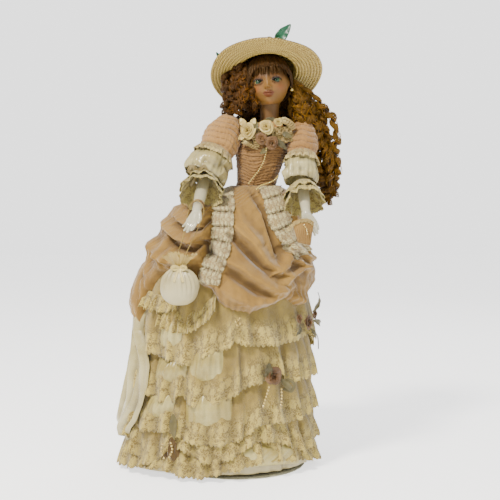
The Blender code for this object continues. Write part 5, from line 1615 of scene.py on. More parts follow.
def make_hat(skins):
    profile = np.array([(0.0006, 0.0340), (0.012, 0.0339), (0.024, 0.0333), (0.0312, 0.0310), (0.0347, 0.0262),
                        (0.0372, 0.0160), (0.0396, 0.0040), (0.0440, 0.0010), (0.0560, 0.0004), (0.0748, -0.0012)])
    rows, cols = 230, 900
    line = evenly(smooth_path(np.column_stack([profile, np.zeros(len(profile))]), 400), rows)[:, :2]
    step = np.concatenate([[0], np.cumsum(np.linalg.norm(np.diff(line, axis=0), axis=1))])
    step = step[-1] - step
    at = np.linspace(0, 2 * math.pi, cols, endpoint=False)[None]
    across = np.abs(np.sin(step * math.pi / 0.0040)) ** 0.55
    plait = np.sin(at * line[:, :1] * 2 * math.pi / 0.0030 + np.where((step // 0.004) % 2 > 0, 1.5, 0)[:, None]
                   + 3.2 * np.abs(((step / 0.004) % 1) - 0.5)[:, None])
    up = (0.00125 * across[:, None] - 0.0006) * (1 + 0.12 * plait) + 0.00016 * plait
    tangent = np.gradient(line, axis=0)
    tangent /= np.linalg.norm(tangent, axis=1, keepdims=True)
    normal = np.stack([-tangent[:, 1], tangent[:, 0]], -1)
    radial = line[:, :1] + normal[:, :1] * up
    height = line[:, 1:] + normal[:, 1:] * up
    outer = np.stack([radial * np.cos(at), radial * np.sin(at), height], -1)
    low = (0.00125 * across[:, None] - 0.0006) * (1 + 0.12 * plait) + 0.00016 * plait
    radial = line[:, :1] - normal[:, :1] * (0.0016 + low)
    height = line[:, 1:] - normal[:, 1:] * (0.0016 + low)
    inner = np.stack([np.maximum(radial, 0.0004) * np.cos(at), np.maximum(radial, 0.0004) * np.sin(at), height], -1)
    surface = hat_wave(np.concatenate([outer, inner[::-1]]))
    surface = surface[::-1]
    uv_one = np.stack(np.broadcast_arrays(at * 0.055, step[:, None]), -1)
    uv = np.concatenate([uv_one, uv_one[::-1]])[::-1]
    faces = grid_faces(rows * 2, cols, True)
    top = (np.arange(cols))[None] + (rows * 2 - 1) * cols
    bottom = np.arange(cols)[::-1][None]
    verts = moved(surface.reshape(-1, 3), HAT)
    # outward faces: check one against the axis of the hat
    a, b, c = surface[rows + 40, 0], surface[rows + 40, 1], surface[rows + 41, 0]
    flip = np.cross(b - a, c - a)[2] < 0 if surface[rows + 40, 0, 2] > surface[rows - 40, 0, 2] else np.cross(b - a, c - a)[2] > 0
    parts = [faces, bottom, top]
    if flip:
        parts = [polygon[:, ::-1] for polygon in parts]
    piece("plaited_hat", (verts, parts, uv.reshape(-1, 2)), skins["straw"], "hat", ["straw_hat"])

    # the ribbon round the crown, in soft pleats
    rows, cols = 22, 520
    at = np.linspace(0, 2 * math.pi, cols, endpoint=False)[None]
    s = np.linspace(0, 1, rows)[:, None]
    radius = 0.0413 - 0.0030 * s + 0.0005 * np.abs(np.sin(s * math.pi * 3 + 0.6 * np.sin(at * 5))) + 0.0004 * rippled((rows, cols), 3, (4, 40))
    points = np.stack([radius * np.cos(at), radius * np.sin(at), 0.0046 + 0.0128 * s + 0.0005 * np.sin(5 * at)], -1)
    made = piece("ribbon_band", cloth(moved(points, HAT), 0.0005, True, np.stack(np.broadcast_arrays(at * 0.04, s * 0.012), -1)),
                 skins["teal"], "hat", ["hat_band"])
    bow = []
    centre = np.array((0.012, -0.0470, 0.0100))
    for side in (-1, 1):
        for up, size in ((0.15, 0.0100), (-0.25, 0.0085)):
            loop = smooth_path([centre, centre + (side * size * 0.6, -0.004, 0.006 * up + 0.003), centre + (side * size, -0.003, 0.004 * up + 0.001),
                                centre + (side * size * 0.6, 0.001, 0.001 * up), centre + (0, 0.0005, 0)], 60)
            bow.append(ribbon(loop, 0.0085 * np.sin(np.linspace(0.35, math.pi - 0.35, 60)) ** 0.5, (0, 0.35, 1), 0.0005, 0.1, 11))
    knot = lathe([(0.0001, -0.0034), (0.0024, -0.0030), (0.0031, 0), (0.0024, 0.0030), (0.0001, 0.0034)], 20)
    bow.append((moved(knot[0], Matrix.Translation(centre + np.array((0, -0.002, 0.001)))), knot[1], None))
    parts = joined(*bow)
    pieces_ = [(moved(parts[0], HAT), parts[1], parts[2])]
    # the pointed ends that stand over the brim
    for a, b, y, wide in (((275, 45), (291, 24), -0.022, 0.0150), ((222, 62), (216, 52), -0.009, 0.006)):
        pieces_.append(leaf(seen(*a, y), seen(*b, y - 0.004), (0.1, -1, 0.3), wide, 0.10, 0.30))
    piece("ribbon_bow", joined(*pieces_), skins["teal"], "hat", ["hat_bow"])


# ---------------------------------------------------------------- arms, sleeves and hands

SHOULDER = {"right": Vector((-0.012, 0, 0.452)), "left": Vector((0.0865, 0, 0.446))}
ELBOW = {"right": Vector((-0.041, -0.030, 0.391)), "left": Vector((0.082, -0.030, 0.385))}
WRIST = {"right": Vector((-0.050, -0.106, 0.3405)), "left": Vector((0.0865, -0.085, 0.338))}
FINGERTIP = {"right": Vector((-0.0625, -0.117, 0.313)), "left": Vector((0.104, -0.094, 0.306))}
PUFF_RADIUS = {"right": 0.0235, "left": 0.0192}
DIGITS = (
    (-0.0056, 0.0150, 0.0115, 0.0020, -0.06),
    (-0.0019, 0.0165, 0.0135, 0.0021, -0.01),
    (0.0018, 0.0165, 0.0128, 0.0020, 0.03),
    (0.0053, 0.0148, 0.0102, 0.0018, 0.09),
    (-0.0055, 0.0040, 0.0130, 0.0021, -0.50),
)


def limb(start, end):
    """The frame with its origin at start and its +Z towards end."""
    return Matrix.Translation(start) @ (end - start).to_track_quat("Z", "Y").to_matrix().to_4x4()


def around(matrix, z, radius, cols, wrap=True):
    """Grid points of rings about a limb's axis: z is (rows, 1) or (rows, cols), radius broadcasts with it."""
    at = np.linspace(0, 2 * math.pi, cols, endpoint=False)[None]
    return moved(np.stack(np.broadcast_arrays(radius * np.cos(at), radius * np.sin(at), z), -1), matrix)


def sleeve_grid(matrix, stations, rows, cols, shape):
    """Rings about a limb from (z, radius) stations, with shape(s, angle, z) added to the radius."""
    stations = np.array(stations, float)
    s = np.linspace(0, 1, rows)[:, None]
    line = evenly(smooth_path(np.column_stack([stations, np.zeros(len(stations))]), 200), rows)[:, :2]
    at = np.linspace(0, 2 * math.pi, cols, endpoint=False)[None]
    z, radius = line[:, :1], line[:, 1:]
    extra = shape(s, at, z)
    bump, slide = extra if isinstance(extra, tuple) else (extra, 0)
    step = np.concatenate([[0], np.cumsum(np.linalg.norm(np.diff(line, axis=0), axis=1))])[:, None]
    points = moved(np.stack(np.broadcast_arrays((radius + bump) * np.cos(at), (radius + bump) * np.sin(at), z + slide), -1), matrix)
    return points, np.stack(np.broadcast_arrays(at * float(radius.max()), step), -1)


def make_sleeves(side, skins):
    upper = limb(SHOULDER[side], ELBOW[side])
    fore = limb(ELBOW[side], WRIST[side])
    length = (ELBOW[side] - SHOULDER[side]).length
    full = PUFF_RADIUS[side]
    seed = 1 if side == "right" else 2

    # the puff, tucked across in soft rolls
    def tucks(s, at, z):
        rolls = np.abs(np.sin((z + 0.0016 * np.sin(at * 2 + seed) + 0.0010 * np.sin(at * 5)) * math.pi / 0.0084)) ** 0.6
        gathers = np.sin(at * 26 + 2 * np.sin(at * 3 + z * 200)) * 0.0002 + np.sin(at * 47 + z * 500) * 0.0001
        ends = smoothstep(s, 0, 0.06) * smoothstep(1 - s, 0, 0.06)
        soft = 0.0009 * rippled((s.shape[0], at.shape[1]), 50 + seed, (7, 14))
        return (rolls * 0.0019 - 0.0010 + gathers * (1.4 - rolls) * 1.5 + soft) * (0.25 + 0.75 * ends)

    points, uv = sleeve_grid(
        upper, [(-0.010, 0.48 * full), (-0.004, 0.66 * full), (0.003, 0.82 * full), (0.014, 0.97 * full),
                (length - 0.046, 1.02 * full), (length - 0.038, 0.99 * full), (length - 0.031, 0.90 * full),
                (length - 0.0265, 0.82 * full)], 150, 300, tucks)
    lap = np.linalg.norm(points - points.mean(1, keepdims=True), axis=-1)[::-1]
    # painted shade in the hollows between the rolls; on the left side a further darkening is a painted shadow of the
    # hair
    puff = piece(f"puff_{side}", cloth(points[::-1], 0.0005, True, uv[::-1]), skins["puff"], None,
                 [f"sleeve_puff_{side}"], painted_fold_shade(lap, (6, 12), 0.0014, 0.26, True, (1.0, 0.90, 0.72)) * (np.array((0.86, 0.82, 0.76)) if side == "left" else 1.0))
    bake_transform(puff)

    # the lace frill below the puff
    def frilled(s, at, z):
        waves = np.sin(at * 13 + 1.5 * np.sin(at * 4)) + 0.3 * np.sin(at * 29 + 2)
        return 0.0019 * waves * s, 0.0012 * np.abs(np.sin(at * 22)) * s

    points, uv = sleeve_grid(upper, [(length - 0.0315, 0.93 * full), (length - 0.027, 1.04 * full), (length - 0.0195, 1.17 * full)],
                             26, 620, frilled)
    uv[..., 1] = uv[..., 1].max() - uv[..., 1]
    frill = piece(f"sleeve_frill_{side}", cloth(points[::-1], 0.0004, True, uv[::-1]), skins["ladder"], f"arm_{side}")

    # the satin sleeve below, in long pleats, open at its end
    def pleats(s, at, z):
        fold = np.sin(at * 11 + 1.4 * np.sin(at * 2 + s * 3) + seed) + 0.5 * np.sin(at * 23 + 2 * s)
        return 0.0009 * fold * (0.3 + 0.7 * s) + 0.0040 * rippled((s.shape[0], at.shape[1]), 60 + seed, (4, 9)) * np.sin(s * math.pi) ** 0.6

    wide = (0.80, 0.98, 1.12, 1.20, 1.10) if side == "right" else (0.80, 0.97, 1.10, 1.13, 1.02)
    points, uv = sleeve_grid(upper, [(length + z, k * full) for z, k in zip((-0.0262, -0.0205, -0.011, 0.0015, 0.0088), wide)],
                             90, 320, pleats)
    lap = np.linalg.norm(points - points.mean(1, keepdims=True), axis=-1)[::-1]
    # painted shade in the hollows of its pleats
    satin_piece = piece(f"satin_sleeve_{side}", cloth(points[::-1], 0.0006, True, uv[::-1]), skins["train"], None,
                        [f"sleeve_satin_{side}"], painted_fold_shade(lap, (14, 16), 0.0018, 0.5, True, (0.95, 0.96, 1.0)))
    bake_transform(satin_piece)

    # the lace cuff over the forearm: two gathered layers
    parts = []
    for layer, (stations, waves, size) in enumerate((
        ([(0.0235, 0.0112), (0.030, 0.0150), (0.040, 0.0204), (0.0530, 0.0240)], 8, 0.0021),
        ([(0.0200, 0.0120), (0.026, 0.0165), (0.034, 0.0214), (0.0425, 0.0240)], 7, 0.0019),
    )):
        def flounced(s, at, z, waves=waves, size=size):
            wave = np.sin(at * waves + 1.6 * np.sin(at * 3 + layer)) + 0.35 * np.sin(at * waves * 2 + 1)
            edge = 0.0013 * np.abs(np.sin(at * 24)) * smoothstep(s, 0.75, 1)
            return size * wave * s**1.2, edge + 0.0010 * np.cos(at * 2 + layer) * s

        flare = 1.10 if side == "right" else 1.0
        stations = [(z, radius * (1 + (flare - 1) * i / 3)) for i, (z, radius) in enumerate(stations)]
        points, uv = sleeve_grid(fore, stations, 34, 760, flounced)
        uv[..., 1] = uv[..., 1].max() - uv[..., 1]
        parts.append(cloth(points[::-1], 0.0004, True, uv[::-1]))
    cuff = piece(f"cuff_{side}", parts[0], skins["lace"], f"forearm_{side}", [f"lace_cuff_{side}"])
    over = piece(f"cuff_over_{side}", parts[1], skins["lace"], f"forearm_{side}")


def capsule(a, b, ra, rb, steps=24, rings=7):
    """A closed rounded rod."""
    a, b = Vector(a), Vector(b)
    long = (b - a).length
    profile = [(0, -ra)] + [(ra * math.sin(t), -ra * math.cos(t)) for t in np.linspace(0.25, math.pi / 2, rings)]
    profile += [(rb * math.cos(t), long + rb * math.sin(t)) for t in np.linspace(0, math.pi / 2 - 0.25, rings)] + [(0, long + rb)]
    return lathe(profile, steps, limb(a, b))


def fused(name, parts, voxel, smooth, factor=0.6):
    """One watertight surface from overlapping closed parts, softened where they meet."""
    part = joined(*parts)
    mesh = bpy.data.meshes.new(name)
    mesh.from_pydata([tuple(v) for v in part[0]], [], [tuple(map(int, f)) for polygon in part[1] for f in polygon])
    made = bpy.data.objects.new(name, mesh)
    bpy.context.scene.collection.objects.link(made)
    remesh = made.modifiers.new("fuse", "REMESH")
    remesh.mode, remesh.voxel_size = "VOXEL", voxel
    soften = made.modifiers.new("soften", "SMOOTH")
    soften.iterations, soften.factor = smooth, factor
    graph = bpy.context.evaluated_depsgraph_get()
    final = bpy.data.meshes.new_from_object(made.evaluated_get(graph))
    verts = np.empty(len(final.vertices) * 3)
    final.vertices.foreach_get("co", verts)
    quads = [tuple(p.vertices) for p in final.polygons]
    bpy.data.objects.remove(made)
    bpy.data.meshes.remove(mesh)
    four = np.array([q for q in quads if len(q) == 4]).reshape(-1, 4)
    three = np.array([q for q in quads if len(q) == 3]).reshape(-1, 3)
    return verts.reshape(-1, 3), [four] + ([three] if len(three) else []), None


def hand_frame(side):
    """+Z from wrist to fingertips, +X across the palm, away from the thumb."""
    along = (FINGERTIP[side] - WRIST[side]).normalized()
    across = Vector((-1, 0.35, 0)) if side == "right" else Vector((1, 0.35, 0))
    across = (across - across.dot(along) * along).normalized()
    return Matrix.Translation(WRIST[side]) @ Matrix((across, along.cross(across), along)).transposed().to_4x4()


def make_forearm(side, skins):
    """The glazed china forearm and hand: palm, curved fingers with their knuckles, thumb."""
    elbow, wrist = ELBOW[side], WRIST[side]
    fore, hand = limb(elbow, wrist), hand_frame(side)
    reach = (wrist - elbow).length
    palmward = -1.0
    parts = [lathe([(0, 0.0092), (0.0055, 0.0098), (0.0072, 0.012), (0.0082, 0.030), (0.0078, reach - 0.032), (0.0068, reach - 0.018),
                    (0.0060, reach - 0.008), (0.0056, reach - 0.002), (0.0050, reach + 0.003), (0, reach + 0.005)], 40, fore)]
    # the palm, a flat block that widens from the wrist
    palm = []
    for z, half, thick in ((0.000, 0.0052, 0.0046), (0.004, 0.0058, 0.0042), (0.009, 0.0070, 0.0039), (0.014, 0.0078, 0.0035), (0.0170, 0.0074, 0.0029)):
        palm.append((z, half, thick))
    at = np.linspace(0, 2 * math.pi, 36, endpoint=False)
    rings = np.array([[(half * math.copysign(abs(math.cos(a)) ** 0.8, math.cos(a)), thick * math.copysign(abs(math.sin(a)) ** 0.8, math.sin(a)), z)
                       for a in at] for z, half, thick in palm])
    block = rings.reshape(-1, 3)
    faces = [grid_faces(len(palm), 36, True), np.arange(36)[::-1][None], (np.arange(36) + (len(palm) - 1) * 36)[None]]
    parts.append((moved(block, hand), faces, None))
    for number, (x, start, length, radius, lean) in enumerate(DIGITS):
        base = Vector((x, 0, start - 0.003))
        way = Vector((math.sin(lean), 0, math.cos(lean)))
        if number < 4:
            joint_1 = base + way * (length * 0.45 + 0.002) + Vector((0, -0.0004, 0))
            joint_2 = joint_1 + way * (length * 0.34) + Vector((0, -0.0016, 0))
            tip = joint_2 + way * (length * 0.22) + Vector((0, -0.0017, 0))
            for a, b, ra, rb in ((base, joint_1, 1.18, 1.04), (joint_1, joint_2, 1.06, 0.92), (joint_2, tip, 0.94, 0.74)):
                parts.append(capsule(hand @ a, hand @ b, radius * ra, radius * rb, 16, 5))
        else:
            bend = base + way * length * 0.55
            tip = bend + (way * 0.8 + Vector((0.25, -0.3, 0.35))).normalized() * length * 0.50
            parts.append(capsule(hand @ (base + Vector((0.002, 0, -0.002))), hand @ bend, 0.0030, 0.0021, 16, 5))
            parts.append(capsule(hand @ bend, hand @ tip, 0.0020, 0.0014, 16, 5))
    piece(f"china_forearm_{side}", fused(f"forearm_{side}_form", parts, 0.00045, 5), skins["china"], f"forearm_{side}",
          [f"forearm_{side}"])


def make_wrist_trims(skins):
    """The bands at the right wrist, the bow and pearls on the sleeve, the flap of cloth in the left hand."""
    fore = limb(ELBOW["right"], WRIST["right"])
    at = (WRIST["right"] - ELBOW["right"]).length - 0.0135
    turn = np.linspace(0, 2 * math.pi * 5, 300)
    coil = np.stack([0.0073 * np.cos(turn), 0.0073 * np.sin(turn), at - 0.0008 + 0.0016 * turn / turn[-1]], -1)
    piece("rust_thread", tubes(moved(coil, fore)[None], 0.00030, 6), skins["rust"], "forearm_right", ["bracelet"])
    turn = np.linspace(0, 2 * math.pi, 60)
    gilt = np.stack([0.0071 * np.cos(turn), 0.0071 * np.sin(turn), at - 0.0032 + 0.0003 * np.sin(turn * 12)], -1)
    piece("gilt_thread_band", tubes(moved(gilt, fore)[None], 0.00055, 8), skins["gilt"], "forearm_right")
    bow = []
    for route, wide in (
        ([(198, 172), (192, 166), (189.5, 171), (197, 174)], 0.0046), ([(198, 172), (204, 166), (206, 172), (199, 174)], 0.0042),
        ([(198, 173), (194, 180), (190.5, 186)], 0.0030), ([(198, 173), (201, 180), (200, 187)], 0.0030),
    ):
        line = smooth_path([seen(u, v, -0.0585 - 0.0022 * (i == 1)) for i, (u, v) in enumerate(route)], 40)
        bow.append(ribbon(line, wide, (0, -1, 0.1), 0.0004, 0.1))
    trims = [piece("sleeve_bow", joined(*bow), skins["grey"], None)]
    pearls = []
    for u, v in ((196.5, 171), (199.5, 171.5), (197.8, 174.5), (201.5, 176)):
        ball = lathe([(0.0012 * math.sin(q), -0.0012 * math.cos(q)) for q in np.linspace(0, math.pi, 9)], 14)
        pearls.append((ball[0] + seen(u, v, -0.0605), ball[1], None))
    trims.append(piece("sleeve_pearls", joined(*pearls), skins["pearl"], None))
    for trim in trims:
        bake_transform(trim)
    # the tan fold with its cream edge below the left wrist
    rows, cols = 26, 60
    s, t = np.linspace(0, 1, rows)[:, None], np.linspace(-1, 1, cols)[None]
    u = 303 + 11.0 * t * (1 - 0.42 * s) + 1.0 * s
    v = 222 + 22 * s - 3.0 * (1 - t**2) * (1 - s) + 1.5 * t * s
    y = -0.0985 - 0.0022 * np.sin(s * math.pi) * (1 - t**2) + 0.0006 * np.sin(t * 9 * math.pi) * s
    points = seen(u, v, y)
    flap = cloth(points[::-1], 0.0005, False, np.stack(np.broadcast_arrays(t * 0.014, s * 0.03), -1)[::-1])
    piece("glove_flap", flap, skins["tan"], "forearm_left")
    edge = smooth_path([seen(u, v, -0.0993) for u, v in ((287.5, 231), (294, 224), (303, 220.5), (309, 221), (313.5, 224))], 120)
    edge[:, 2] += 0.0006 * np.sin(np.linspace(0, 50, 120))
    piece("glove_edge", ribbon(edge, 0.0040, (0, -1, 0.4), 0.0004, 0.15), skins["ladder"], "forearm_left")
    line = smooth_path([seen(u, v, -0.1035) for u, v in ((304, 225), (306.5, 229), (307.5, 234))], 20)
    piece("glove_pearls", beads(line, 0.0011, 1.3), skins["pearl"], "forearm_left")


# ---------------------------------------------------------------- the purse

PURSE = np.array((-0.0712, -0.108, 0))
HANDLE = [(-0.0640, -0.1080, 0.2870), (-0.0560, -0.1055, 0.3040), (-0.0475, -0.1035, 0.3220), (-0.0412, -0.1025, 0.3400),
          (-0.0434, -0.1025, 0.3502), (-0.0500, -0.1025, 0.3542), (-0.0568, -0.1025, 0.3502), (-0.0600, -0.1020, 0.3400),
          (-0.0640, -0.1025, 0.3220), (-0.0680, -0.1055, 0.3040), (-0.0745, -0.1080, 0.2870)]


def make_purse(skins):
    """The drawstring purse: pleats drawn into its neck, the stuffed bag under it, the frill above."""
    rows, cols = 120, 480
    line = np.array([(0.0002, 0.2250), (0.0060, 0.2254), (0.0110, 0.2268), (0.0172, 0.2310), (0.0212, 0.2365), (0.0236, 0.2450),
                     (0.0232, 0.2520), (0.0214, 0.2580), (0.0176, 0.2640), (0.0120, 0.2690), (0.0074, 0.2712), (0.0068, 0.2724)])
    profile = evenly(smooth_path(np.column_stack([line, np.zeros(len(line))]), 300), rows)[:, :2]
    at = np.linspace(0, 2 * math.pi, cols, endpoint=False)[None]
    z = profile[:, 1:]
    near = smoothstep(z, 0.232, 0.268)
    pleat = np.abs(np.sin(at * 9 + 0.8 * np.sin(at * 2 + z * 60) + 0.5 * np.sin(at * 5))) ** 0.7 - 0.6
    fine = np.sin(at * 31 + 3 * np.sin(at * 3))
    soft = rippled((rows, cols), 91, (5, 12))
    radius = profile[:, :1] + (0.0022 * pleat * near + 0.0006 * fine * near + 0.0011 * soft * (1 - 0.4 * near)) * np.clip(profile[:, :1] / 0.014, 0, 1)
    points = PURSE + np.stack([radius * np.cos(at), 0.75 * radius * np.sin(at), z + 0 * at], -1)
    verts = points.reshape(-1, 3)
    faces = [grid_faces(rows, cols, True), np.arange(cols)[::-1][None], (np.arange(cols) + (rows - 1) * cols)[None]]
    uv = np.stack(np.broadcast_arrays(at * 0.0236, z), -1).reshape(-1, 2)
    bag = piece("satin_purse", (verts, faces, uv), skins["satin"], "purse", ["purse_bag"])

    # the frill standing above the tie, two layers with pinked points
    for layer, (tall, wide, waves, seed) in enumerate(((0.0200, 0.0195, 9, 1), (0.0175, 0.0150, 8, 2))):
        rows, cols = 30, 620
        s = np.linspace(0, 1, rows)[:, None]
        at = np.linspace(0, 2 * math.pi, cols, endpoint=False)[None]
        wave = np.sin(at * waves + seed + 0.8 * np.sin(at * 2)) + 0.3 * np.sin(at * waves * 2 + 1)
        points_up = np.abs((at * 15 / math.pi + 0.5 * seed) % 1 - 0.5) * 2
        radius = 0.0070 - 0.0004 * layer + (wide - 0.0070) * s**1.15 + 0.0022 * wave * s
        z = 0.2722 + tall * s * (0.88 + 0.12 * np.sin(at * 3 + seed)) + (0.0026 * points_up - 0.0012) * s**4 - 0.0035 * np.abs(np.cos(at)) * s**2
        points = PURSE + np.stack([radius * np.cos(at), 0.70 * radius * np.sin(at), z + 0 * at], -1)
        made = piece(f"purse_frill_{layer + 1}", cloth(points, 0.0005, True, np.stack(np.broadcast_arrays(at * 0.02, s * 0.016), -1)),
                     skins["cream"], "purse")
    turn = np.linspace(0, 2 * math.pi * 2, 160)
    cord = PURSE + np.stack([0.0082 * np.cos(turn), 0.0082 * 0.8 * np.sin(turn), 0.2716 + 0.0016 * turn / turn[-1]], -1)
    tie = [tubes(cord[None], 0.0008, 8)]
    for side in (-1, 1):
        loop = smooth_path([PURSE + (0.001, -0.0082, 0.2722), PURSE + (side * 0.005, -0.0105, 0.2745), PURSE + (side * 0.0088, -0.0108, 0.2725),
                            PURSE + (side * 0.005, -0.0102, 0.2700), PURSE + (0.001, -0.0086, 0.2718)], 40)
        tie.append(ribbon(loop, 0.0030, (0, -1, 0.2), 0.0004, 0.1))
        tail = smooth_path([PURSE + (0.0005, -0.0086, 0.2715), PURSE + (side * 0.003, -0.0135, 0.2640), PURSE + (side * 0.0055, -0.0175, 0.2555)], 30)
        tie.append(ribbon(tail, 0.0026, (0, -1, 0.4), 0.0004, 0.1))
    piece("purse_ribbon_tie", joined(*tie), skins["white"], "purse", ["purse_tie"])
    path = evenly(smooth_path(HANDLE, 400), 160)
    handle = piece("ribbon_handle", tubes(path[None], 0.0013, 10, 0.35), skins["cream"], "purse", ["purse_handle"])


# ---------------------------------------------------------------- what the dress hides


def make_body_and_legs(skins):
    """The muslin body, the pantaloons and the china calves with their boots."""
    rows, cols = 90, 160
    s = np.linspace(0, 1, rows)[:, None]
    at = np.linspace(-math.pi, math.pi, cols, endpoint=False)[None]
    table = np.array([(0.2985, 0.0140, 0.0100), (0.305, 0.023, 0.017), (0.325, 0.025, 0.0185), (0.345, 0.0225, 0.0170), (0.366, 0.0205, 0.0160),
                      (0.390, 0.0225, 0.0165), (0.410, 0.0255, 0.0170), (0.424, 0.0240, 0.0150), (0.429, 0.0190, 0.0110)])
    z = 0.2985 + 0.1305 * s
    half, deep = np.interp(z, table[:, 0], table[:, 1]), np.interp(z, table[:, 0], table[:, 2])
    soft = 0.0004 * rippled((rows, cols), 61, (14, 22))
    seam = -0.0005 * np.exp(-((np.cos(at) / 0.04) ** 2))
    points = np.stack([np.interp(z, SPINE_Z, SPINE_X) + (half + soft + seam) * np.cos(at),
                       np.interp(z, SPINE_Z, SPINE_Y) + (deep + soft + seam) * np.sin(at), z + 0 * at], -1)
    faces = [grid_faces(rows, cols, True), np.arange(cols)[::-1][None], (np.arange(cols) + (rows - 1) * cols)[None]]
    body = piece("muslin_body", (points.reshape(-1, 3), faces, np.stack(np.broadcast_arrays(at * 0.025, z), -1).reshape(-1, 2)),
                 skins["muslin"], "doll", ["torso"])
    for side in ("right", "left"):
        hip = Vector((-0.005, 0, 0.287)) if side == "right" else Vector((0.027, 0, 0.287))
        ankle = Vector((-0.015, -0.002, 0.030)) if side == "right" else Vector((0.032, -0.002, 0.030))
        leg, length = limb(hip, ankle), (ankle - hip).length
        knee = 0.52 * length
        thigh = lathe([(0, -0.0098), (0.0040, -0.0092), (0.0075, -0.0062), (0.0105, 0.0), (0.0115, 0.030), (0.0112, knee * 0.6),
                       (0.0100, knee - 0.012), (0.0088, knee - 0.003), (0.0050, knee - 0.0002), (0, knee)], 48, leg)
        made = piece(f"stuffed_thigh_{side}", thigh, skins["muslin"], f"leg_{side}", [f"thigh_{side}"])
        foot = ankle + Vector((0, -0.010, -0.0155))
        parts = [lathe([(0, knee + 0.001), (0.0060, knee + 0.0025), (0.0088, knee + 0.008), (0.0099, knee + 0.040), (0.0085, length - 0.040),
                        (0.0066, length - 0.015), (0.0062, length + 0.002), (0.0050, length + 0.010), (0, length + 0.012)], 40, leg)]
        sole = lathe([(0.0086 * math.sin(a), -0.0086 * math.cos(a)) for a in np.linspace(0, math.pi, 17)], 40)
        stretch = Matrix.Translation(foot) @ Matrix.Diagonal((1.0, 2.28, 1.0, 1.0))
        parts.append((moved(sole[0], stretch), sole[1], None))
        parts.append(capsule(ankle + Vector((0, 0.004, -0.004)), ankle + Vector((0, 0.005, -0.0185)), 0.0062, 0.0050, 20))
        piece(f"china_calf_{side}", fused(f"calf_{side}_form", parts, 0.0006, 6), skins["china"], f"leg_{side}", [f"shin_{side}"])

        def hemmed(s, at, z):
            return 0.0007 * np.sin(at * 14 + s * 2) * smoothstep(s, 0.5, 1) - 0.0010 * np.exp(-(((s - 0.88) / 0.02) ** 2)) + 0.0010 * smoothstep(s, 0.93, 1)

        hem = length * 0.72
        points, uv = sleeve_grid(leg, [(0.012, 0.0136), (0.050, 0.0144), (hem - 0.035, 0.0154), (hem, 0.0168)], 90, 200, hemmed)
        trousers = piece(f"pantaloon_leg_{side}", cloth(points[::-1], 0.0008, True, uv[::-1]), skins["muslin"], f"leg_{side}",
                         [f"pantaloon_{side}"])
        shoulder, elbow = SHOULDER[side], ELBOW[side]
        arm, reach = limb(shoulder, elbow), (elbow - shoulder).length
        bore = 0.0016
        profile = np.array([(bore, 0.0021), (0.0058, 0.0019), (0.0076, 0.0060), (0.0089, 0.012), (0.0086, reach - 0.016), (0.0082, reach - 0.010),
                            (0.0068, reach - 0.0042), (bore, reach - 0.0038)])
        at = np.linspace(0, 2 * math.pi, 40, endpoint=False)
        grid = np.stack(np.broadcast_arrays(profile[:, :1] * np.cos(at), profile[:, :1] * np.sin(at), profile[:, 1:]), -1)
        faces = grid_faces(len(profile), 40, True)
        last = (len(profile) - 1) * 40
        k = np.arange(40)
        faces = np.concatenate([faces, np.stack([k + last, (k + 1) % 40 + last, (k + 1) % 40, k], -1)])
        upper = piece(f"stuffed_arm_{side}", (moved(grid.reshape(-1, 3), arm), [faces], None), skins["muslin"], f"arm_{side}",
                      [f"upper_arm_{side}"])


def dress_cad(skins):
    """Materials for the carried-over hard pieces: stand, clip, neck fastening, wires, shoulder plate, pate."""
    wanted = {
        "stand_base": "steel", "stand_socket": "steel", "stand_tube": "steel", "stand_rod": "steel", "waist_clip": "steel",
        "neck_bolt": "steel", "neck_nut": "steel", "arm_wire_right": "steel", "arm_wire_left": "steel",
        "shoulder_plate": "plain_bisque", "pate": "card",
    }
    for obj in list(bpy.data.objects):
        if obj.type == "MESH" and "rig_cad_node" in obj and obj.name in wanted:
            obj.data.materials.clear()
            obj.data.materials.append(skins[wanted[obj.name]].material)


def card_skin():
    skin = Skin("pate_card", (170, 140, 100), 0.9)
    fibre = skin.noise(skin.coords("Object"), 700, 4)
    skin.colour(skin.mix(skin.step(fibre, 0.35, 0.65), (146, 118, 82), (186, 158, 118)))
    skin.bump(fibre, 0.0003, 0.6)
    return skin


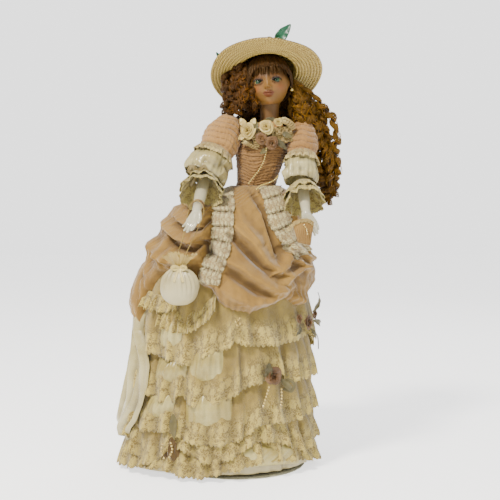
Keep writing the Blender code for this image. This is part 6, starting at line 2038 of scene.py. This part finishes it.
def main():
    make_camera()
    make_studio()
    lace_skin = lace("cream_lace", (244, 228, 168), (140, 116, 66), clear=0.62)
    skins = {
        "satin": satin("white_satin", (224, 216, 206), (198, 188, 172)),
        "white": satin("cream_ribbon", (238, 222, 176), (208, 186, 136), 0.4),
        "cream": satin("cream_taffeta", (206, 184, 132), (178, 152, 98), 0.42),
        "chiffon": chiffon("peach_chiffon", (176, 142, 88), (158, 124, 70), True),
        "puff": chiffon("puff_chiffon", (194, 154, 114), (178, 138, 96), True),
        "lace": lace_skin,
        "tier_lace": lace("tier_lace", (242, 222, 154), (116, 90, 40), 0.016, clear=0.88, fold_shaded=True),
        "ladder": lace("ivory_lace", (234, 216, 176), (160, 130, 82), 0.009, 0.003, 0.75),
        "ladder_lace": lace("ladder_lace", (255, 246, 226), (142, 106, 66), 0.0070, 0.0040, 0.95, True),
        "lining": satin("satin_lining", (220, 210, 174), (182, 168, 124), 0.30),
        # a dark brown chiffon sheet: painted shade in the deep gap where the lace tiers open
        "net": chiffon("gap_shade_sheet", (104, 80, 36), (76, 56, 22)),
        "train": satin("train_satin", (222, 215, 200), (192, 181, 156), 0.26, True),
        "dusty": satin("dusty_ribbon", (156, 118, 86), (106, 76, 50), 0.55),
        "green": satin("grey_green_ribbon", (122, 112, 74), (80, 74, 44), 0.55),
        "grey": satin("grey_ribbon", (186, 172, 146), (150, 134, 106), 0.45),
        "tan": chiffon("tan_chiffon", (176, 142, 92), (146, 112, 66)),
        "teal": satin("teal_satin", (44, 118, 100), (14, 62, 54), 0.36),
        "rust": satin("rust_thread", (132, 78, 44), (92, 50, 26), 0.6),
        "gilt": satin("gilt_thread", (214, 184, 120), (170, 134, 74), 0.35),
        "muslin": chiffon("muslin", (232, 222, 200), (210, 196, 168)),
        "china": china("white_china", (228, 226, 240), (214, 212, 222), 0.10, 0.9),
        "plain_bisque": china("plain_bisque", (214, 170, 130), (202, 156, 116), 0.45, 0.1),
        "bisque": painted_bisque(),
        "eye": eye_skin(),
        "lash": satin("lash", (52, 34, 20), (30, 18, 10), 0.6),
        "hair": hair_skin(),
        "straw": straw_skin(),
        "steel": steel_skin(),
        "pearl": pearl_skin(),
        "card": card_skin(),
    }
    make_pearls(skins["pearl"])
    make_purse(skins)
    make_underskirt(skins["satin"], skins["muslin"])
    make_tiers(skins["tier_lace"])
    make_satin_puffs(skins["lining"], skins["net"])
    make_train(skins["train"])
    make_overskirt(skins["chiffon"])
    make_ladders(skins["ladder_lace"])
    make_bodice(skins["puff"])
    make_neckline(skins)
    make_skirt_trims(skins)
    for side in ("right", "left"):
        make_sleeves(side, skins)
        make_forearm(side, skins)
    make_wrist_trims(skins)
    make_body_and_legs(skins)
    make_head(skins)
    make_wig(skins)
    make_hat(skins)
    dress_cad(skins)


main()
bpy.context.view_layer.update()
